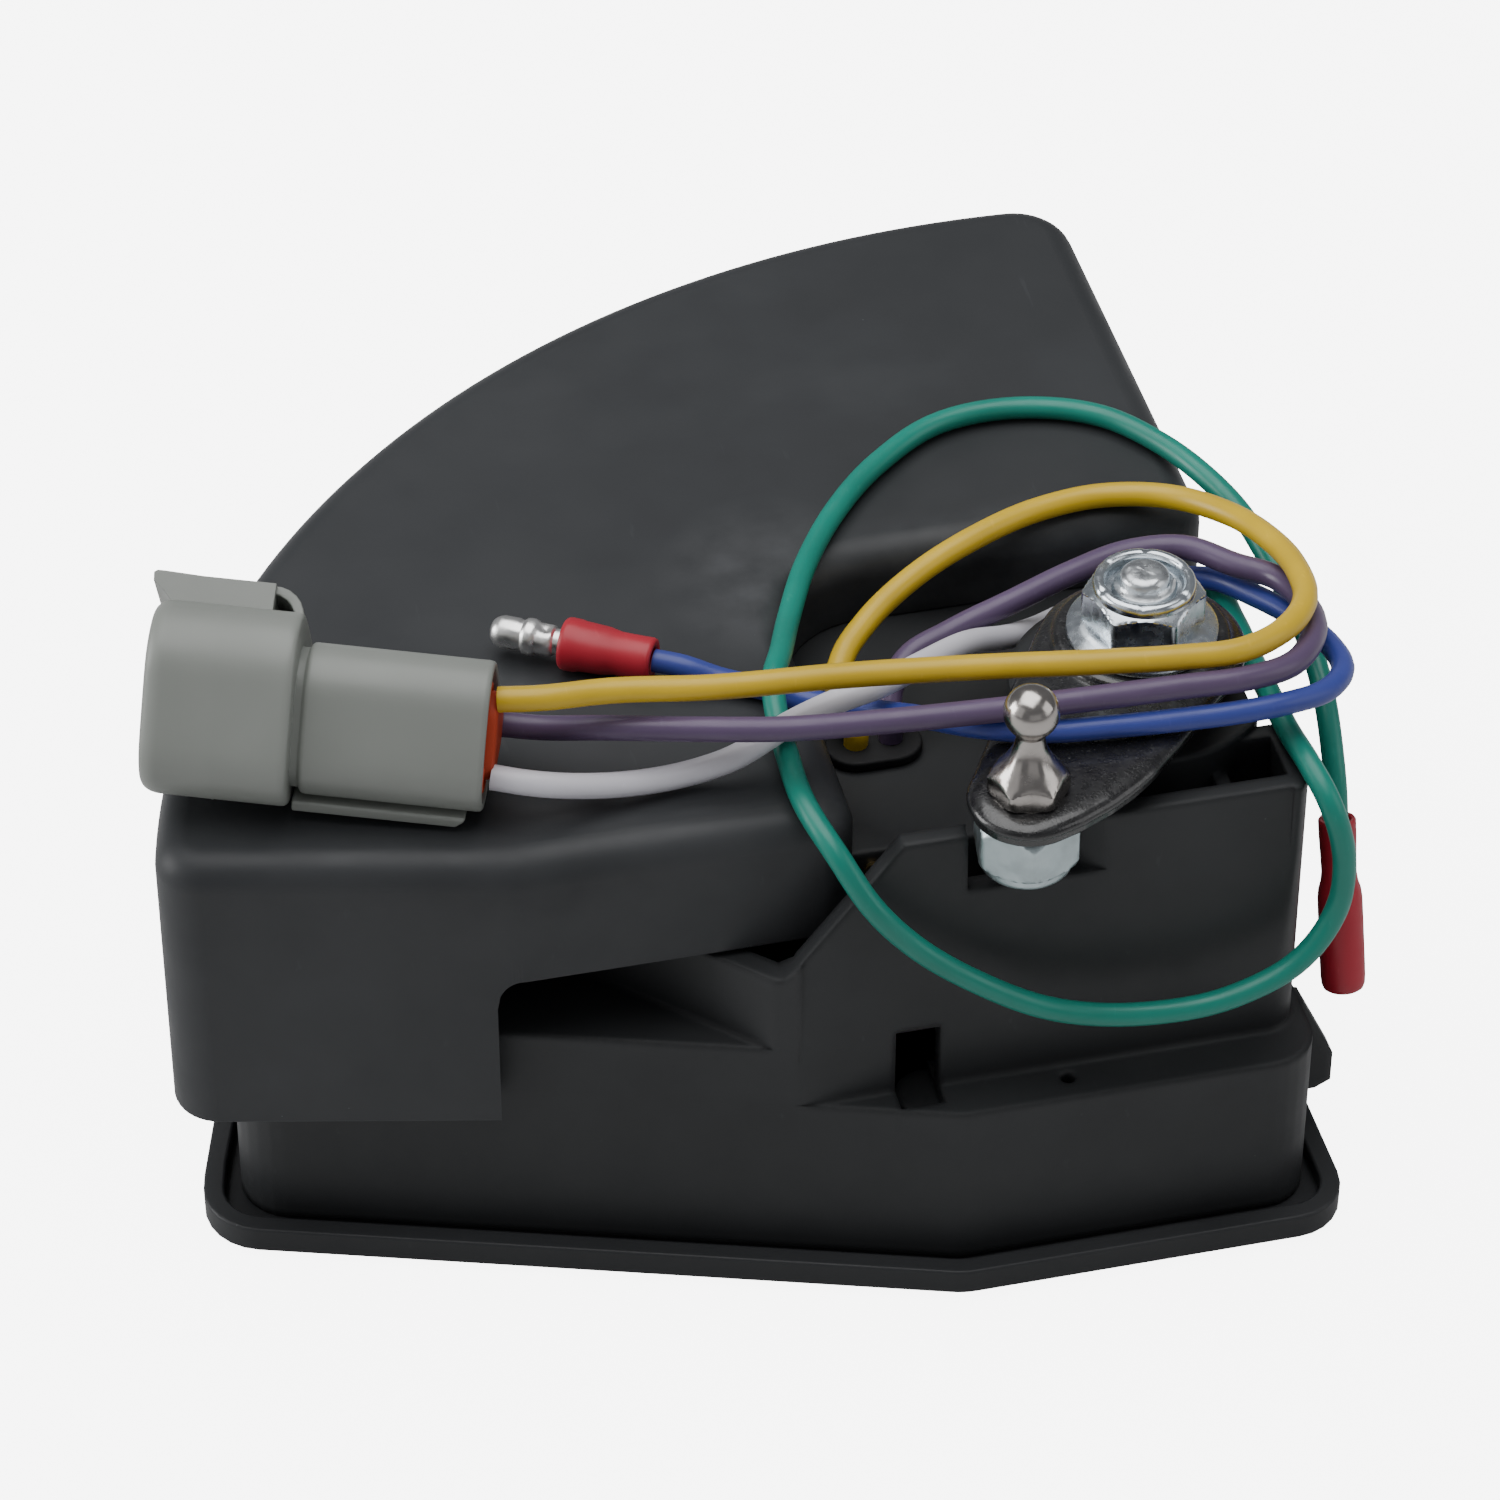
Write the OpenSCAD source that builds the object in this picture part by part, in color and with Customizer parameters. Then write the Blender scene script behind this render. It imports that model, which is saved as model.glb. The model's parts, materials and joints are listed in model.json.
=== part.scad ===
// Throttle potentiometer: sector shaped housing with a hood, a spring
// returned throttle arm on a vertical shaft, a wiper on a resistor board
// inside, a limit switch, and five flying leads.
// Millimetres, +Z up, origin at the centre of the footprint on the base.

/* [Base and housing] */
// Height of the base tray lip
lip_h = 4.7; // [4.2:0.1:5.5]
// Wall thickness of the housing
wall = 2.5; // [2:0.1:3]
// Height of the right front ledge
ledge_z = 27; // [25:0.5:28]
// Height of the housing floor plate that carries the resistor board
plate_z = 36; // [35.5:0.1:36.5]
// Height of the upper front wall
rim_z = 65.2; // [62:0.1:66]

/* [Hood] */
// Height of the hood top
hood_z = 66.5; // [66:0.1:67]
// Height of the hood skirt edge
skirt_z = 25.5; // [24:0.5:27]
// Radius of the curved back of the hood
hood_r = 127.4; // [126.5:0.1:127.6]
// Hood wall
hood_t = 2.2; // [1.8:0.1:2.6]

/* [Throttle arm] */
// Distance from the shaft to the ball stud
arm_len = 31.9; // [31:0.1:32.5]
// Angle of the arm at rest, counter-clockwise from +X
arm_rest = 229.3; // [228:0.1:231]
// Ball radius
ball_r = 3.35; // [3:0.05:3.6]
// Arm plate thickness
arm_t = 3.2; // [2.5:0.1:3.2]

/* [Leads] */
// Outer radius of the yellow, purple and white leads
lead_r = 1.55; // [1.3:0.05:1.6]
// Outer radius of the blue and green leads
lead_s = 1.45; // [1.2:0.05:1.5]

/* [Hidden] */
$fn = 64;

px = 50.9;            // shaft axis
py = -33.0;
arc_c = [54.5, -59.2]; // centre of the curved back
ex = px + arm_len * cos(arm_rest); // ball stud axis
ey = py + arm_len * sin(arm_rest);
arm_z = 68.8;         // underside of the arm
top_z = arm_z + arm_t; // top of the arm
deck_z = 56;          // deck under the arm
black = [0.13, 0.135, 0.14];

// ---- outlines -------------------------------------------------------
function unit(v) = v / norm(v);
// rounded polygon: [x, y, r] corners, n segments an arc
function rp(c, n = 6) = [for (i = [0:len(c) - 1])
  let (p = [c[i][0], c[i][1]], r = c[i][2],
       a = c[(i + len(c) - 1) % len(c)], b = c[(i + 1) % len(c)],
       u = unit([a[0], a[1]] - p), v = unit([b[0], b[1]] - p),
       th = acos(max(-1, min(1, u * v))),
       m = unit(u + v), o = p + m * (r / sin(th / 2)),
       s = p + u * (r / tan(th / 2)) - o, e = p + v * (r / tan(th / 2)) - o,
       a0 = atan2(s[1], s[0]), d0 = atan2(e[1], e[0]) - a0,
       d = d0 > 180 ? d0 - 360 : (d0 < -180 ? d0 + 360 : d0))
  each (r < 0.05 ? [p] : [for (k = [0:n]) o + r * [cos(a0 + d * k / n), sin(a0 + d * k / n)]])];
// where a ray from p along t meets the circle of radius r about arc_c
function hit(p, t, r) = let (q = p - arc_c, b = q * t) p + t * (-b + sqrt(b * b - q * q + r * r));
function arc(r, a0, a1, n) = [for (k = [1:n - 1]) let (a = a0 + (a1 - a0) * k / n)
  [arc_c[0] + r * cos(a), arc_c[1] + r * sin(a), 0]];
function ang(p) = atan2(p[1] - arc_c[1], p[0] - arc_c[0]);
// sector outline: front line y, apex x, slope of the left front wall, right wall x, arc radius
function sector(yf, xa, sl, xr, r, rc, ra, d) =
  let (n = [sin(sl), cos(sl)], t = [-cos(sl), sin(sl)],
       ax = xa + d * (1 - cos(sl)) / sin(sl),
       fl = hit([xa, yf] + n * d, t, r - d),
       br = hit([xr - d, 0], [0, 1], r - d))
  rp(concat([[ax, yf + d, ra], [xr - d, yf + d, max(0.5, rc - d)], [br[0], br[1], max(1, rc + 2 - d)]],
    arc(r - d, ang(br), ang(fl), 20), [[fl[0], fl[1], max(1, rc + 1 - d)]]));
module tray_o(d) polygon(sector(-68.2, 21.2, 18.1, 71.4, 125.4, 7, 10, d));
module low_o(d) polygon(sector(-63.6, 21.8, 18.1, 67.5, 121, 6, 8, d));
module up_o(d) polygon(sector(-57.4, 2.85, 18.1, 66, 121, 4.2, 6, d));
// hood outline with its notch around the arm
module hood_o(d) {
  n = [sin(12.7), cos(12.7)];
  fl = hit([-30, -50.9] + n * d, [-cos(12.7), sin(12.7)], hood_r - d);
  br = hit([68.5 - d, 0], [0, 1], hood_r - d);
  polygon(rp(concat([[-30 + d * 0.1115, -50.9 + d, 10], [11.5 - d, -50.9 + d, max(1, 4.5 - d)],
    [11.5 - d, -2.7 + d, 12 + d], [68.5 - d, -2.7 + d, max(0.5, 3 - d)],
    [br[0], br[1], max(1, 8 - d)]], arc(hood_r - d, ang(br), ang(fl), 24),
    [[fl[0], fl[1], max(1, 6 - d)]])));
}
module ring_o(a, b) { difference() { tray_o(a); tray_o(b); } }

// ---- base -----------------------------------------------------------
tray_pts = [[60.5, -56.5], [19.5, -55.5], [-54, -31], [-38, 6], [-5, 37], [48, 52]];
fix_pts = [[-33, -23], [43, -23], [-33, 13], [43, 13]];
module base_tray() color([0.1, 0.105, 0.11]) difference() {
  union() {
    linear_extrude(1) tray_o(1.4);
    translate([0, 0, 1]) linear_extrude(1.4) tray_o(0);
    translate([0, 0, 2.4]) linear_extrude(lip_h - 2.4) difference() { tray_o(0); tray_o(2.6); }
    for (p = tray_pts) translate([p[0], p[1], 2.4]) cylinder(r = 4, h = 2.5);
    for (p = fix_pts) translate([p[0], p[1], 2.4]) cylinder(r = 4, h = 7.6);
  }
  for (p = tray_pts) translate([p[0], p[1], -1]) { cylinder(r = 3.4, h = 3.6); cylinder(r = 1.8, h = 8); }
  for (p = fix_pts) translate([p[0], p[1], -1]) cylinder(r = 1.65, h = 9);
}
module tray_gasket() color([0.16, 0.16, 0.16]) translate([0, 0, 2.4])
  linear_extrude(0.6) difference() { low_o(0.2); low_o(wall - 0.2); }
module tray_screws() color([0.7, 0.7, 0.7]) for (p = tray_pts) translate([p[0], p[1], 0]) {
  translate([0, 0, 0.4]) cylinder(r = 3, h = 2.2);
  translate([0, 0, 2.4]) cylinder(r = 1.4, h = 13.6);
}

// ---- housing --------------------------------------------------------
hood_pts = [[-48, -22], [-20, 25], [20, 48], [60, 44]];
// front wall of the tower: outer face leans back a little
module front_wall() intersection() {
  rotate([90, 0, 90]) linear_extrude(90, center = true)
    polygon([[-57.4, plate_z - 2], [-57.4, plate_z], [-56.2, rim_z], [-53.8, rim_z], [-54.9, plate_z - 2]]);
  translate([0, -50, 0]) rotate([90, 0, 0]) linear_extrude(20)
    polygon([[2.6, plate_z - 2], [2.6, 49.2], [15.5, rim_z], [40, rim_z], [40, plate_z - 2]]);
}
module front_wall_r() intersection() {
  rotate([90, 0, 90]) linear_extrude(200, center = true)
    polygon([[-57.4, plate_z - 2], [-57.4, plate_z], [-56.2, rim_z], [-53.8, rim_z], [-54.9, plate_z - 2]]);
  translate([0, -50, 0]) rotate([90, 0, 0]) linear_extrude(20)
    polygon([[39, plate_z - 2], [39, rim_z], [65.5, rim_z], [66, plate_z - 2]]);
}
module housing() color(black) difference() {
  union() {
    difference() {
      union() {
        translate([0, 0, 3]) linear_extrude(ledge_z - 3) low_o(0);
        translate([0, 0, ledge_z - 1]) linear_extrude(plate_z - ledge_z + 1) up_o(0);
      }
      translate([0, 0, 2]) linear_extrude(ledge_z - 2 - wall) low_o(wall);
      translate([0, 0, ledge_z - wall - 1]) linear_extrude(plate_z - ledge_z + 1) up_o(wall);
    }
    // tower
    front_wall();
    intersection() {
      union() {
        front_wall_r();
        translate([0, 0, plate_z - 1]) linear_extrude(rim_z - plate_z + 1)
          polygon([[63.4, -56.6], [65.9, -56.6], [65.9, -44.4], [58, -44.4], [58, -46.6], [63.4, -46.6]]);
      }
      translate([0, 0, plate_z - 3]) linear_extrude(rim_z - plate_z + 4) up_o(0);
    }
    // left end of the front wall and the slanting wall behind it
    intersection() {
      translate([0, 0, plate_z - 1]) linear_extrude(20)
        polygon([[2.9, -57.4], [-0.4, -56.34], [-20.5, -36.5], [-18.5, -34.5], [1.4, -53.6], [2.9, -54.9]]);
      translate([0, -20, 0]) rotate([90, 0, 0]) linear_extrude(50)
        polygon([[-30, 30], [-30, 47.2], [0.9, 47.2], [3, 49.7], [3, 30]]);
    }
    // deck and its box
    translate([9, -46, deck_z - wall]) cube([54, 45.5, wall]);
    translate([9, -46, plate_z - 1]) cube([54, wall, deck_z - plate_z]);
    translate([61, -46, plate_z - 1]) cube([2, 45.5, deck_z - plate_z]);
    // shaft boss, its bulge in front of the box and the rib
    intersection() {
      translate([px, py, plate_z - 1]) difference() { cylinder(r = 16, h = 31); translate([0, 0, -1]) cylinder(r = 13.6, h = 19.5); }
      union() { translate([0, -60, plate_z - 1]) cube([62.5, 16, 40]); translate([0, -60, deck_z - wall]) cube([62.6, 60, 30]); }
    }
    translate([px, py, 50]) cylinder(r = 10, h = 4);
    translate([55.8, -55.2, plate_z - 1]) cube([1.8, 9, 27]);
    // lower bearing boss and pads
    translate([px, py, 28]) cylinder(r = 9, h = 10.5);
    for (a = [123, 187.5]) translate([px + 52 * cos(a), py + 52 * sin(a), plate_z - 1]) cylinder(r = 3.2, h = 2.2);
    // screw bosses
    for (p = tray_pts) translate([p[0], p[1], 5]) cylinder(r = 4.2, h = p[1] < -50 ? 20.5 : 29);
    for (s = [-1, 1]) translate([px, py, 0]) rotate([0, 0, 205]) translate([20, s * 4.75, 21.8]) cylinder(r = 2.6, h = 12.5);
    // lug on the right wall
    translate([0, -47, 0]) rotate([90, 0, 0]) linear_extrude(3)
      polygon([[66, 8.5], [71.6, 8.5], [73.6, 9.6], [73.6, 14.2], [69.2, 23.6], [66, 24.4]]);
  }
  // bores
  translate([px, py, 20]) cylinder(r = 6.5, h = 25);
  translate([px, py, 49]) cylinder(r = 7.5, h = 20);
  for (p = tray_pts) translate([p[0], p[1], 4]) cylinder(r = 1.4, h = 18);
  for (p = hood_pts) translate([p[0], p[1], 30]) cylinder(r = 1.9, h = 8);
  for (a = [123, 187.5]) translate([px + 52 * cos(a), py + 52 * sin(a), plate_z - 4]) cylinder(r = 1.1, h = 6);
  for (s = [-1, 1]) translate([px, py, 0]) rotate([0, 0, 205]) translate([20, s * 4.75, 20]) cylinder(r = 1, h = 9);
  // through window in the front wall, cut into the ledge
  translate([14.6, -60.7, 24]) cube([5.6, 10, 12.5]);
  // drain hole in the ledge
  translate([35.8, -59.9, 20]) cylinder(r = 1, h = 10);
  // scoop in the front wall that clears the stud nut
  translate([px, py, 57]) rotate([0, 0, arm_rest]) rotate_extrude(angle = 34)
    translate([arm_len - 6.2, 0]) square([14, 12]);
  intersection() {
    translate([ex, ey, 57]) cylinder(r = 7.4, h = 12);
    translate([ex - 6.85, ey - 10, 56]) cube([20, 20, 14]);
  }
  // brass pin
  translate([14.3, -47, 53.4]) rotate([-90, 0, 0]) cylinder(r = 0.8, h = 4);
  // lead outlets
  translate([19, -27.5, 50]) linear_extrude(10) polygon(rp([[-4.9, -2.7, 2.6], [4.9, -2.7, 2.6], [4.9, 2.7, 2.6], [-4.9, 2.7, 2.6]]));
  translate([53.6, -10, 50]) linear_extrude(10) polygon(rp([[-6.2, -2.6, 2.5], [6.2, -2.6, 2.5], [6.2, 2.6, 2.5], [-6.2, 2.6, 2.5]]));
}

// ---- hood -----------------------------------------------------------
module hood() color([0.2, 0.205, 0.21]) difference() {
  union() {
    difference() {
      union() {
        translate([0, 0, skirt_z]) linear_extrude(hood_z - 3.1 - skirt_z) hood_o(0);
        translate([0, 0, hood_z - 3.2]) linear_extrude(1.5) hood_o(0.35);
        translate([0, 0, hood_z - 1.8]) linear_extrude(1.1) hood_o(1.2);
        translate([0, 0, hood_z - 0.8]) linear_extrude(0.8) hood_o(2.6);
      }
      translate([0, 0, skirt_z - 1]) linear_extrude(hood_z - hood_t - skirt_z + 1) hood_o(hood_t);
    }
    for (p = hood_pts) translate([p[0], p[1], plate_z]) cylinder(r = 4, h = hood_z - 1 - plate_z);
  }
  // cut-out in the front wall
  translate([-32.8, -56, skirt_z - 1]) cube([50, 7.6, 43.6 - skirt_z + 1]);
  translate([-29.8, -56, 43]) cube([50, 7.6, 5]);
  // notch walls stand on the deck
  translate([5, -45.95, skirt_z - 1]) cube([62, 45.6, deck_z - skirt_z + 1]);
  translate([5, -49, skirt_z - 1]) cube([9, 4, 48 - skirt_z + 1]);
  translate([60, -10, skirt_z - 1]) cube([12, 80, 2.9]);
  translate([60, -10, skirt_z - 1]) cube([6.35, 9.6, deck_z - skirt_z + 1]);
  for (p = hood_pts) translate([p[0], p[1], plate_z - 1]) cylinder(r = 1.3, h = 14);
}
module hood_screws() color([0.7, 0.7, 0.7]) for (p = hood_pts) translate([p[0], p[1], 31.3]) {
  cylinder(r = 3, h = 2.2);
  cylinder(r = 1.3, h = 15);
}

// ---- bearing, shaft and arm ------------------------------------------
module upper_bush() color([0.75, 0.55, 0.3]) translate([px, py, 0]) difference() {
  union() { translate([0, 0, 50]) cylinder(r = 7.5, h = 16); translate([0, 0, 66]) cylinder(r = 9.5, h = 1.2); }
  translate([0, 0, 45]) cylinder(r = 5.05, h = 30);
}
module lower_bush() color([0.75, 0.55, 0.3]) translate([px, py, 0]) difference() {
  union() { translate([0, 0, 28]) cylinder(r = 6.5, h = 10.5); translate([0, 0, 38.5]) cylinder(r = 7.4, h = 1); }
  translate([0, 0, 25]) cylinder(r = 4.05, h = 20);
}
module pivot_shaft() color([0.75, 0.77, 0.78]) translate([px, py, 0]) {
  translate([0, 0, 14]) cylinder(r = 4, h = 26);
  translate([0, 0, 39.8]) cylinder(r = 5, h = arm_z - 39.8);
  translate([0, 0, 60]) cylinder(r = 4, h = 22.0);
  translate([0, 0, 82]) cylinder(r1 = 4, r2 = 3.5, h = 0.5);
}
module throttle_arm() color([0.08, 0.08, 0.085]) difference() {
  union() {
    translate([px, py, arm_z]) { cylinder(r = 12.8, h = arm_t); cylinder(r = 10.8, h = arm_t + 1.2); }
    translate([ex, ey, arm_z]) cylinder(r = 7.3, h = arm_t);
    translate([0, 0, arm_z]) linear_extrude(arm_t)
      polygon([[40.2, -25.9], [24, -53.2], [25.6, -62.2], [31, -64.2], [35.5, -63], [39.6, -61],
        [43, -58.8], [46.2, -56.2], [50, -52.4], [54.6, -47.4], [59.4, -42.6], [px, py]]);
  }
  translate([px, py, arm_z - 1]) cylinder(r = 4, h = 10);
  translate([ex, ey, arm_z - 1]) cylinder(r = 3, h = 10);
}
module pivot_nut() color([0.8, 0.83, 0.86]) translate([px, py, top_z + 1.2]) difference() {
  union() {
    cylinder(r = 9.25, h = 1.1);
    translate([0, 0, 1.1]) cylinder(r1 = 9.1, r2 = 7.4, h = 1);
    rotate([0, 0, 45]) cylinder(r = 7.65, h = 6.6, $fn = 6);
    cylinder(r = 6.7, h = 7.4);
    cylinder(r = 6.1, h = 8.1);
  }
  translate([0, 0, -1]) cylinder(r = 4, h = 12);
  translate([0, 0, 7]) cylinder(r = 4.6, h = 3);
}
module thrust_washer() color([0.7, 0.72, 0.74]) translate([px, py, 67.3]) difference() {
  cylinder(r = 9, h = arm_z - 67.3);
  translate([0, 0, -1]) cylinder(r = 5, h = 5);
}
module ball_stud() color([0.75, 0.74, 0.72]) translate([ex, ey, 0]) {
  translate([0, 0, top_z + 11.9]) sphere(r = ball_r);
  rotate_extrude() polygon(concat([[0, top_z + 3.3]],
    [for (k = [0:8]) let (a = k * 10) [1.7 + 2.9 * (1 - sin(a)), top_z + 3.3 + 4.6 * (1 - cos(a)) + 0.0]],
    [[1.7, top_z + 8.2], [1.75, top_z + 11], [0, top_z + 11]]));
  translate([0, 0, top_z]) rotate([0, 0, 49]) cylinder(r = 4.97, h = 3.5, $fn = 6);
  translate([0, 0, 60]) cylinder(r = 3, h = top_z - 60 + 1);
}
module ball_stud_nut() color([0.8, 0.83, 0.85]) translate([ex, ey, 0]) difference() {
  union() {
    translate([0, 0, 62.6]) rotate([0, 0, 22]) cylinder(r = 6.8, h = arm_z - 62.6, $fn = 6);
    translate([0, 0, 61.6]) cylinder(r = 5.8, h = 3);
    translate([0, 0, 60.8]) cylinder(r = 5.2, h = 3);
  }
  translate([0, 0, 55]) cylinder(r = 3, h = 20);
}
module retaining_clip() color([0.5, 0.5, 0.52]) translate([px, py, 26.8]) difference() {
  cylinder(r = 6.6, h = 1);
  translate([0, 0, -1]) cylinder(r = 4, h = 3);
  translate([-1.4, 3, -1]) cube([2.8, 5, 3]);
}

// ---- spring: coil with two straight legs -----------------------------
sp_r = 8.9; sp_w = 0.6; sp_n = 3;
sp_path = concat(
  [for (k = [0:sp_n * 14]) let (a = 60 + k * 360 / 14) [px + sp_r * cos(a), py + sp_r * sin(a), 44.7 + 4.2 * k / (sp_n * 14)]],
  [[px + sp_r * cos(60) - 14 * cos(-30), py + sp_r * sin(60) - 14 * sin(-30), 48.9]]);
module return_spring() color([0.6, 0.6, 0.62]) tube(sp_path, sp_w);

// ---- wiper, board, switch ---------------------------------------------
rot_a = 134.3;
module wiper_rotor() color([0.85, 0.83, 0.76]) difference() {
  translate([px, py, 0]) union() {
    translate([0, 0, 40]) cylinder(r = 7.6, h = 9.7);
    rotate([0, 0, rot_a]) translate([0, 0, 40]) linear_extrude(3.5)
      polygon([[0, -6], [20, -5], [54, -3.5], [56, -2], [56, 2], [54, 3.5], [20, 5], [0, 6]]);
  }
  translate([px, py, 30]) cylinder(r = 5, h = 30);
}
module wiper_contact() color([0.85, 0.68, 0.35]) translate([px, py, 0]) rotate([0, 0, rot_a]) {
  translate([43, -2.5, 39.6]) cube([10, 5, 0.4]);
  for (s = [-1.6, 0.6]) translate([44, s, 39.15]) cube([2, 1, 0.5]);
}
module resistor_board() color([0.2, 0.42, 0.3]) translate([px, py, 37.2]) difference() {
  rotate([0, 0, 119]) rotate_extrude(angle = 72) translate([40, 0]) square([18, 1.6]);
  for (a = [123, 187.5]) rotate([0, 0, a]) translate([52, 0, -1]) cylinder(r = 1.3, h = 4);
}
module board_screws() color([0.7, 0.7, 0.7]) for (a = [123, 187.5])
  translate([px + 52 * cos(a), py + 52 * sin(a), 0]) {
    translate([0, 0, 38.8]) cylinder(r = 2.3, h = 1);
    translate([0, 0, 33]) cylinder(r = 1.1, h = 6.5);
  }
module board_terminals() color([0.85, 0.7, 0.35]) for (r = [42, 44.6, 47.2]) translate([px, py, 0])
  rotate([0, 0, 122]) translate([r, 0, 38.8]) cylinder(r = 0.6, h = 5);
cam_a = 205;          // direction of the switch from the shaft
cam_k = 1 / 45;       // plunger travel in mm per degree
module switch_cam() color([0.9, 0.88, 0.82]) translate([px, py, 17]) difference() {
  union() {
    cylinder(r = 7, h = 4);
    linear_extrude(4) polygon(concat([[0, 0]],
      [for (a = [-75:5:30]) let (r = 12.5 - cam_k * a) [r * cos(cam_a + a), r * sin(cam_a + a)]]));
  }
  translate([0, 0, -1]) cylinder(r = 4, h = 6);
}
module sw() translate([px, py, 0]) rotate([0, 0, cam_a]) children();
module limit_switch() color([0.1, 0.1, 0.11]) sw() difference() {
  translate([15, -9.9, 15.4]) cube([10.2, 19.8, 6.4]);
  for (s = [-1, 1]) translate([20, s * 4.75, 10]) cylinder(r = 1.15, h = 15);
  translate([14, -1.1, 16.9]) cube([5, 2.2, 3.2]);
}
module switch_plunger() color([0.8, 0.2, 0.15]) sw() difference() {
  translate([12.8, -1.0, 17]) cube([4.6, 2, 3]);
  translate([12, -1.5, 22]) cube([1, 3, 1]);
}
module switch_terminals() color([0.85, 0.7, 0.35]) sw() for (s = [-7.5, 0, 7.5])
  translate([25.2, s - 1.6, 18.3]) cube([6, 3.2, 0.6]);
module switch_screws() color([0.7, 0.7, 0.7]) sw() for (s = [-1, 1]) {
  translate([20, s * 4.75, 13.6]) cylinder(r = 2, h = 1.8);
  translate([20, s * 4.75, 14]) cylinder(r = 1, h = 13);
}
module brass_pin() color([0.8, 0.65, 0.35]) translate([14.3, 0, 53.4]) {
  translate([0, -46.6, 0]) rotate([-90, 0, 0]) cylinder(r = 1.1, h = 0.6);
  translate([0, -46.5, 0]) rotate([-90, 0, 0]) cylinder(r = 0.8, h = 3);
}
module grommet(w, h) {
  translate([0, 0, deck_z]) linear_extrude(1.4) polygon(rp([[-w - 1.2, -h - 1.2, h + 1.1], [w + 1.2, -h - 1.2, h + 1.1], [w + 1.2, h + 1.2, h + 1.1], [-w - 1.2, h + 1.2, h + 1.1]]));
  translate([0, 0, deck_z - wall]) linear_extrude(wall + 0.2) polygon(rp([[-w, -h, h - 0.1], [w, -h, h - 0.1], [w, h, h - 0.1], [-w, h, h - 0.1]]));
  translate([0, 0, deck_z - wall - 1.2]) linear_extrude(1.2) polygon(rp([[-w - 1, -h - 1, h + 0.9], [w + 1, -h - 1, h + 0.9], [w + 1, h + 1, h + 0.9], [-w - 1, h + 1, h + 0.9]]));
}
module lead_grommet_left() color([0.09, 0.09, 0.09]) translate([19, -27.5, 0]) grommet(4.9, 2.7);
module lead_grommet_right() color([0.09, 0.09, 0.09]) translate([53.6, -10, 0]) grommet(6.2, 2.6);

// ---- leads ------------------------------------------------------------
function cr(a, b) = cross(a, b);
function tang(p) = [for (i = [0:len(p) - 1]) unit(unit(p[min(i + 1, len(p) - 1)] - p[i == len(p) - 1 ? i - 1 : i]) +
  unit(p[i == 0 ? 1 : i] - p[max(i - 1, 0)]))];
function start(t) = unit(cr(t, abs(t[2]) > 0.8 ? [1, 0, 0] : [0, 0, 1]));
function fr(t, i) = i == 0 ? [start(t[0])] : let (q = fr(t, i - 1), n = q[i - 1], m = n - (n * t[i]) * t[i]) concat(q, [unit(m)]);
module tube(p, r, s = 8) {
  t = tang(p); n = fr(t, len(p) - 1); m = len(p);
  polyhedron([for (i = [0:m - 1]) let (b = cr(t[i], n[i])) for (k = [0:s - 1])
      p[i] + r * (cos(k * 360 / s) * n[i] + sin(k * 360 / s) * b)],
    concat([[for (k = [0:s - 1]) s - 1 - k]],
      [for (i = [0:m - 2]) for (k = [0:s - 1]) [i * s + k, i * s + (k + 1) % s, (i + 1) * s + (k + 1) % s, (i + 1) * s + k]],
      [[for (k = [0:s - 1]) (m - 1) * s + k]]));
}
yellow_p = [[-29.12, -37.31, 80.95], [-25.1, -38.5, 81.3], [-16, -38.3, 80.6], [-3.9, -39.6, 79.9], [12, -40.8, 79.7], [28, -42.7, 79.5],
  [42.8, -45, 79.4], [51.7, -46, 79.2], [59.1, -46, 78.9], [65.8, -42.4, 78.2], [70.2, -36.4, 77], [71.8, -28.5, 75.4],
  [71.4, -19.4, 73.2], [68.7, -10, 70.8], [63.1, -2.8, 69], [55.6, 0.2, 68.2], [47.1, -0.7, 68.2], [38, -4.3, 68.2], [28.8, -8.8, 67],
  [21.2, -14.4, 65.4], [17.2, -18.9, 64.2], [15.5, -22.8, 62.9], [15.7, -25.6, 61.4], [16.8, -27.4, 59.4], [16.8, -27.4, 57.4]];
purple_p = [[-27.98, -32.46, 73.03], [-24.2, -33.9, 73], [-17, -37.9, 74.8], [-6.5, -42.6, 76.4], [4, -45.6, 76.9], [14.5, -46.9, 77],
  [26, -47.9, 77.1], [41, -48.6, 77.1], [51, -48.9, 77.1], [59, -48.8, 76.8], [65.1, -46.8, 76.1], [69.7, -41.3, 74.8],
  [72.2, -30.2, 71.8], [70.7, -23.7, 70.8], [66.9, -19.9, 70.4], [61.6, -14.4, 70], [54.8, -13.3, 69.6], [47.6, -15.1, 69.2],
  [38.9, -17.9, 68.2], [30.5, -20, 66.6], [24.4, -21.9, 64.8], [21.8, -24.8, 62.6], [21.2, -27.2, 59.8], [21.2, -27.4, 57.4]];
white_p = [[-30.97, -41.32, 72.7], [-27.07, -42.85, 72.33], [-20.6, -42.9, 70.6], [-14, -42.2, 69.2], [-8.4, -41.6, 68.8],
  [-2, -41.6, 70.2], [5.4, -39.8, 72.7], [12, -37.5, 73.2], [17.4, -35.8, 73.1], [23, -32, 72], [31, -25.9, 69.4], [38, -20.6, 65],
  [43, -16.2, 62.1], [46.6, -12.8, 60.3], [49.3, -10.6, 59.1], [50, -10, 57.4]];
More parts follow.
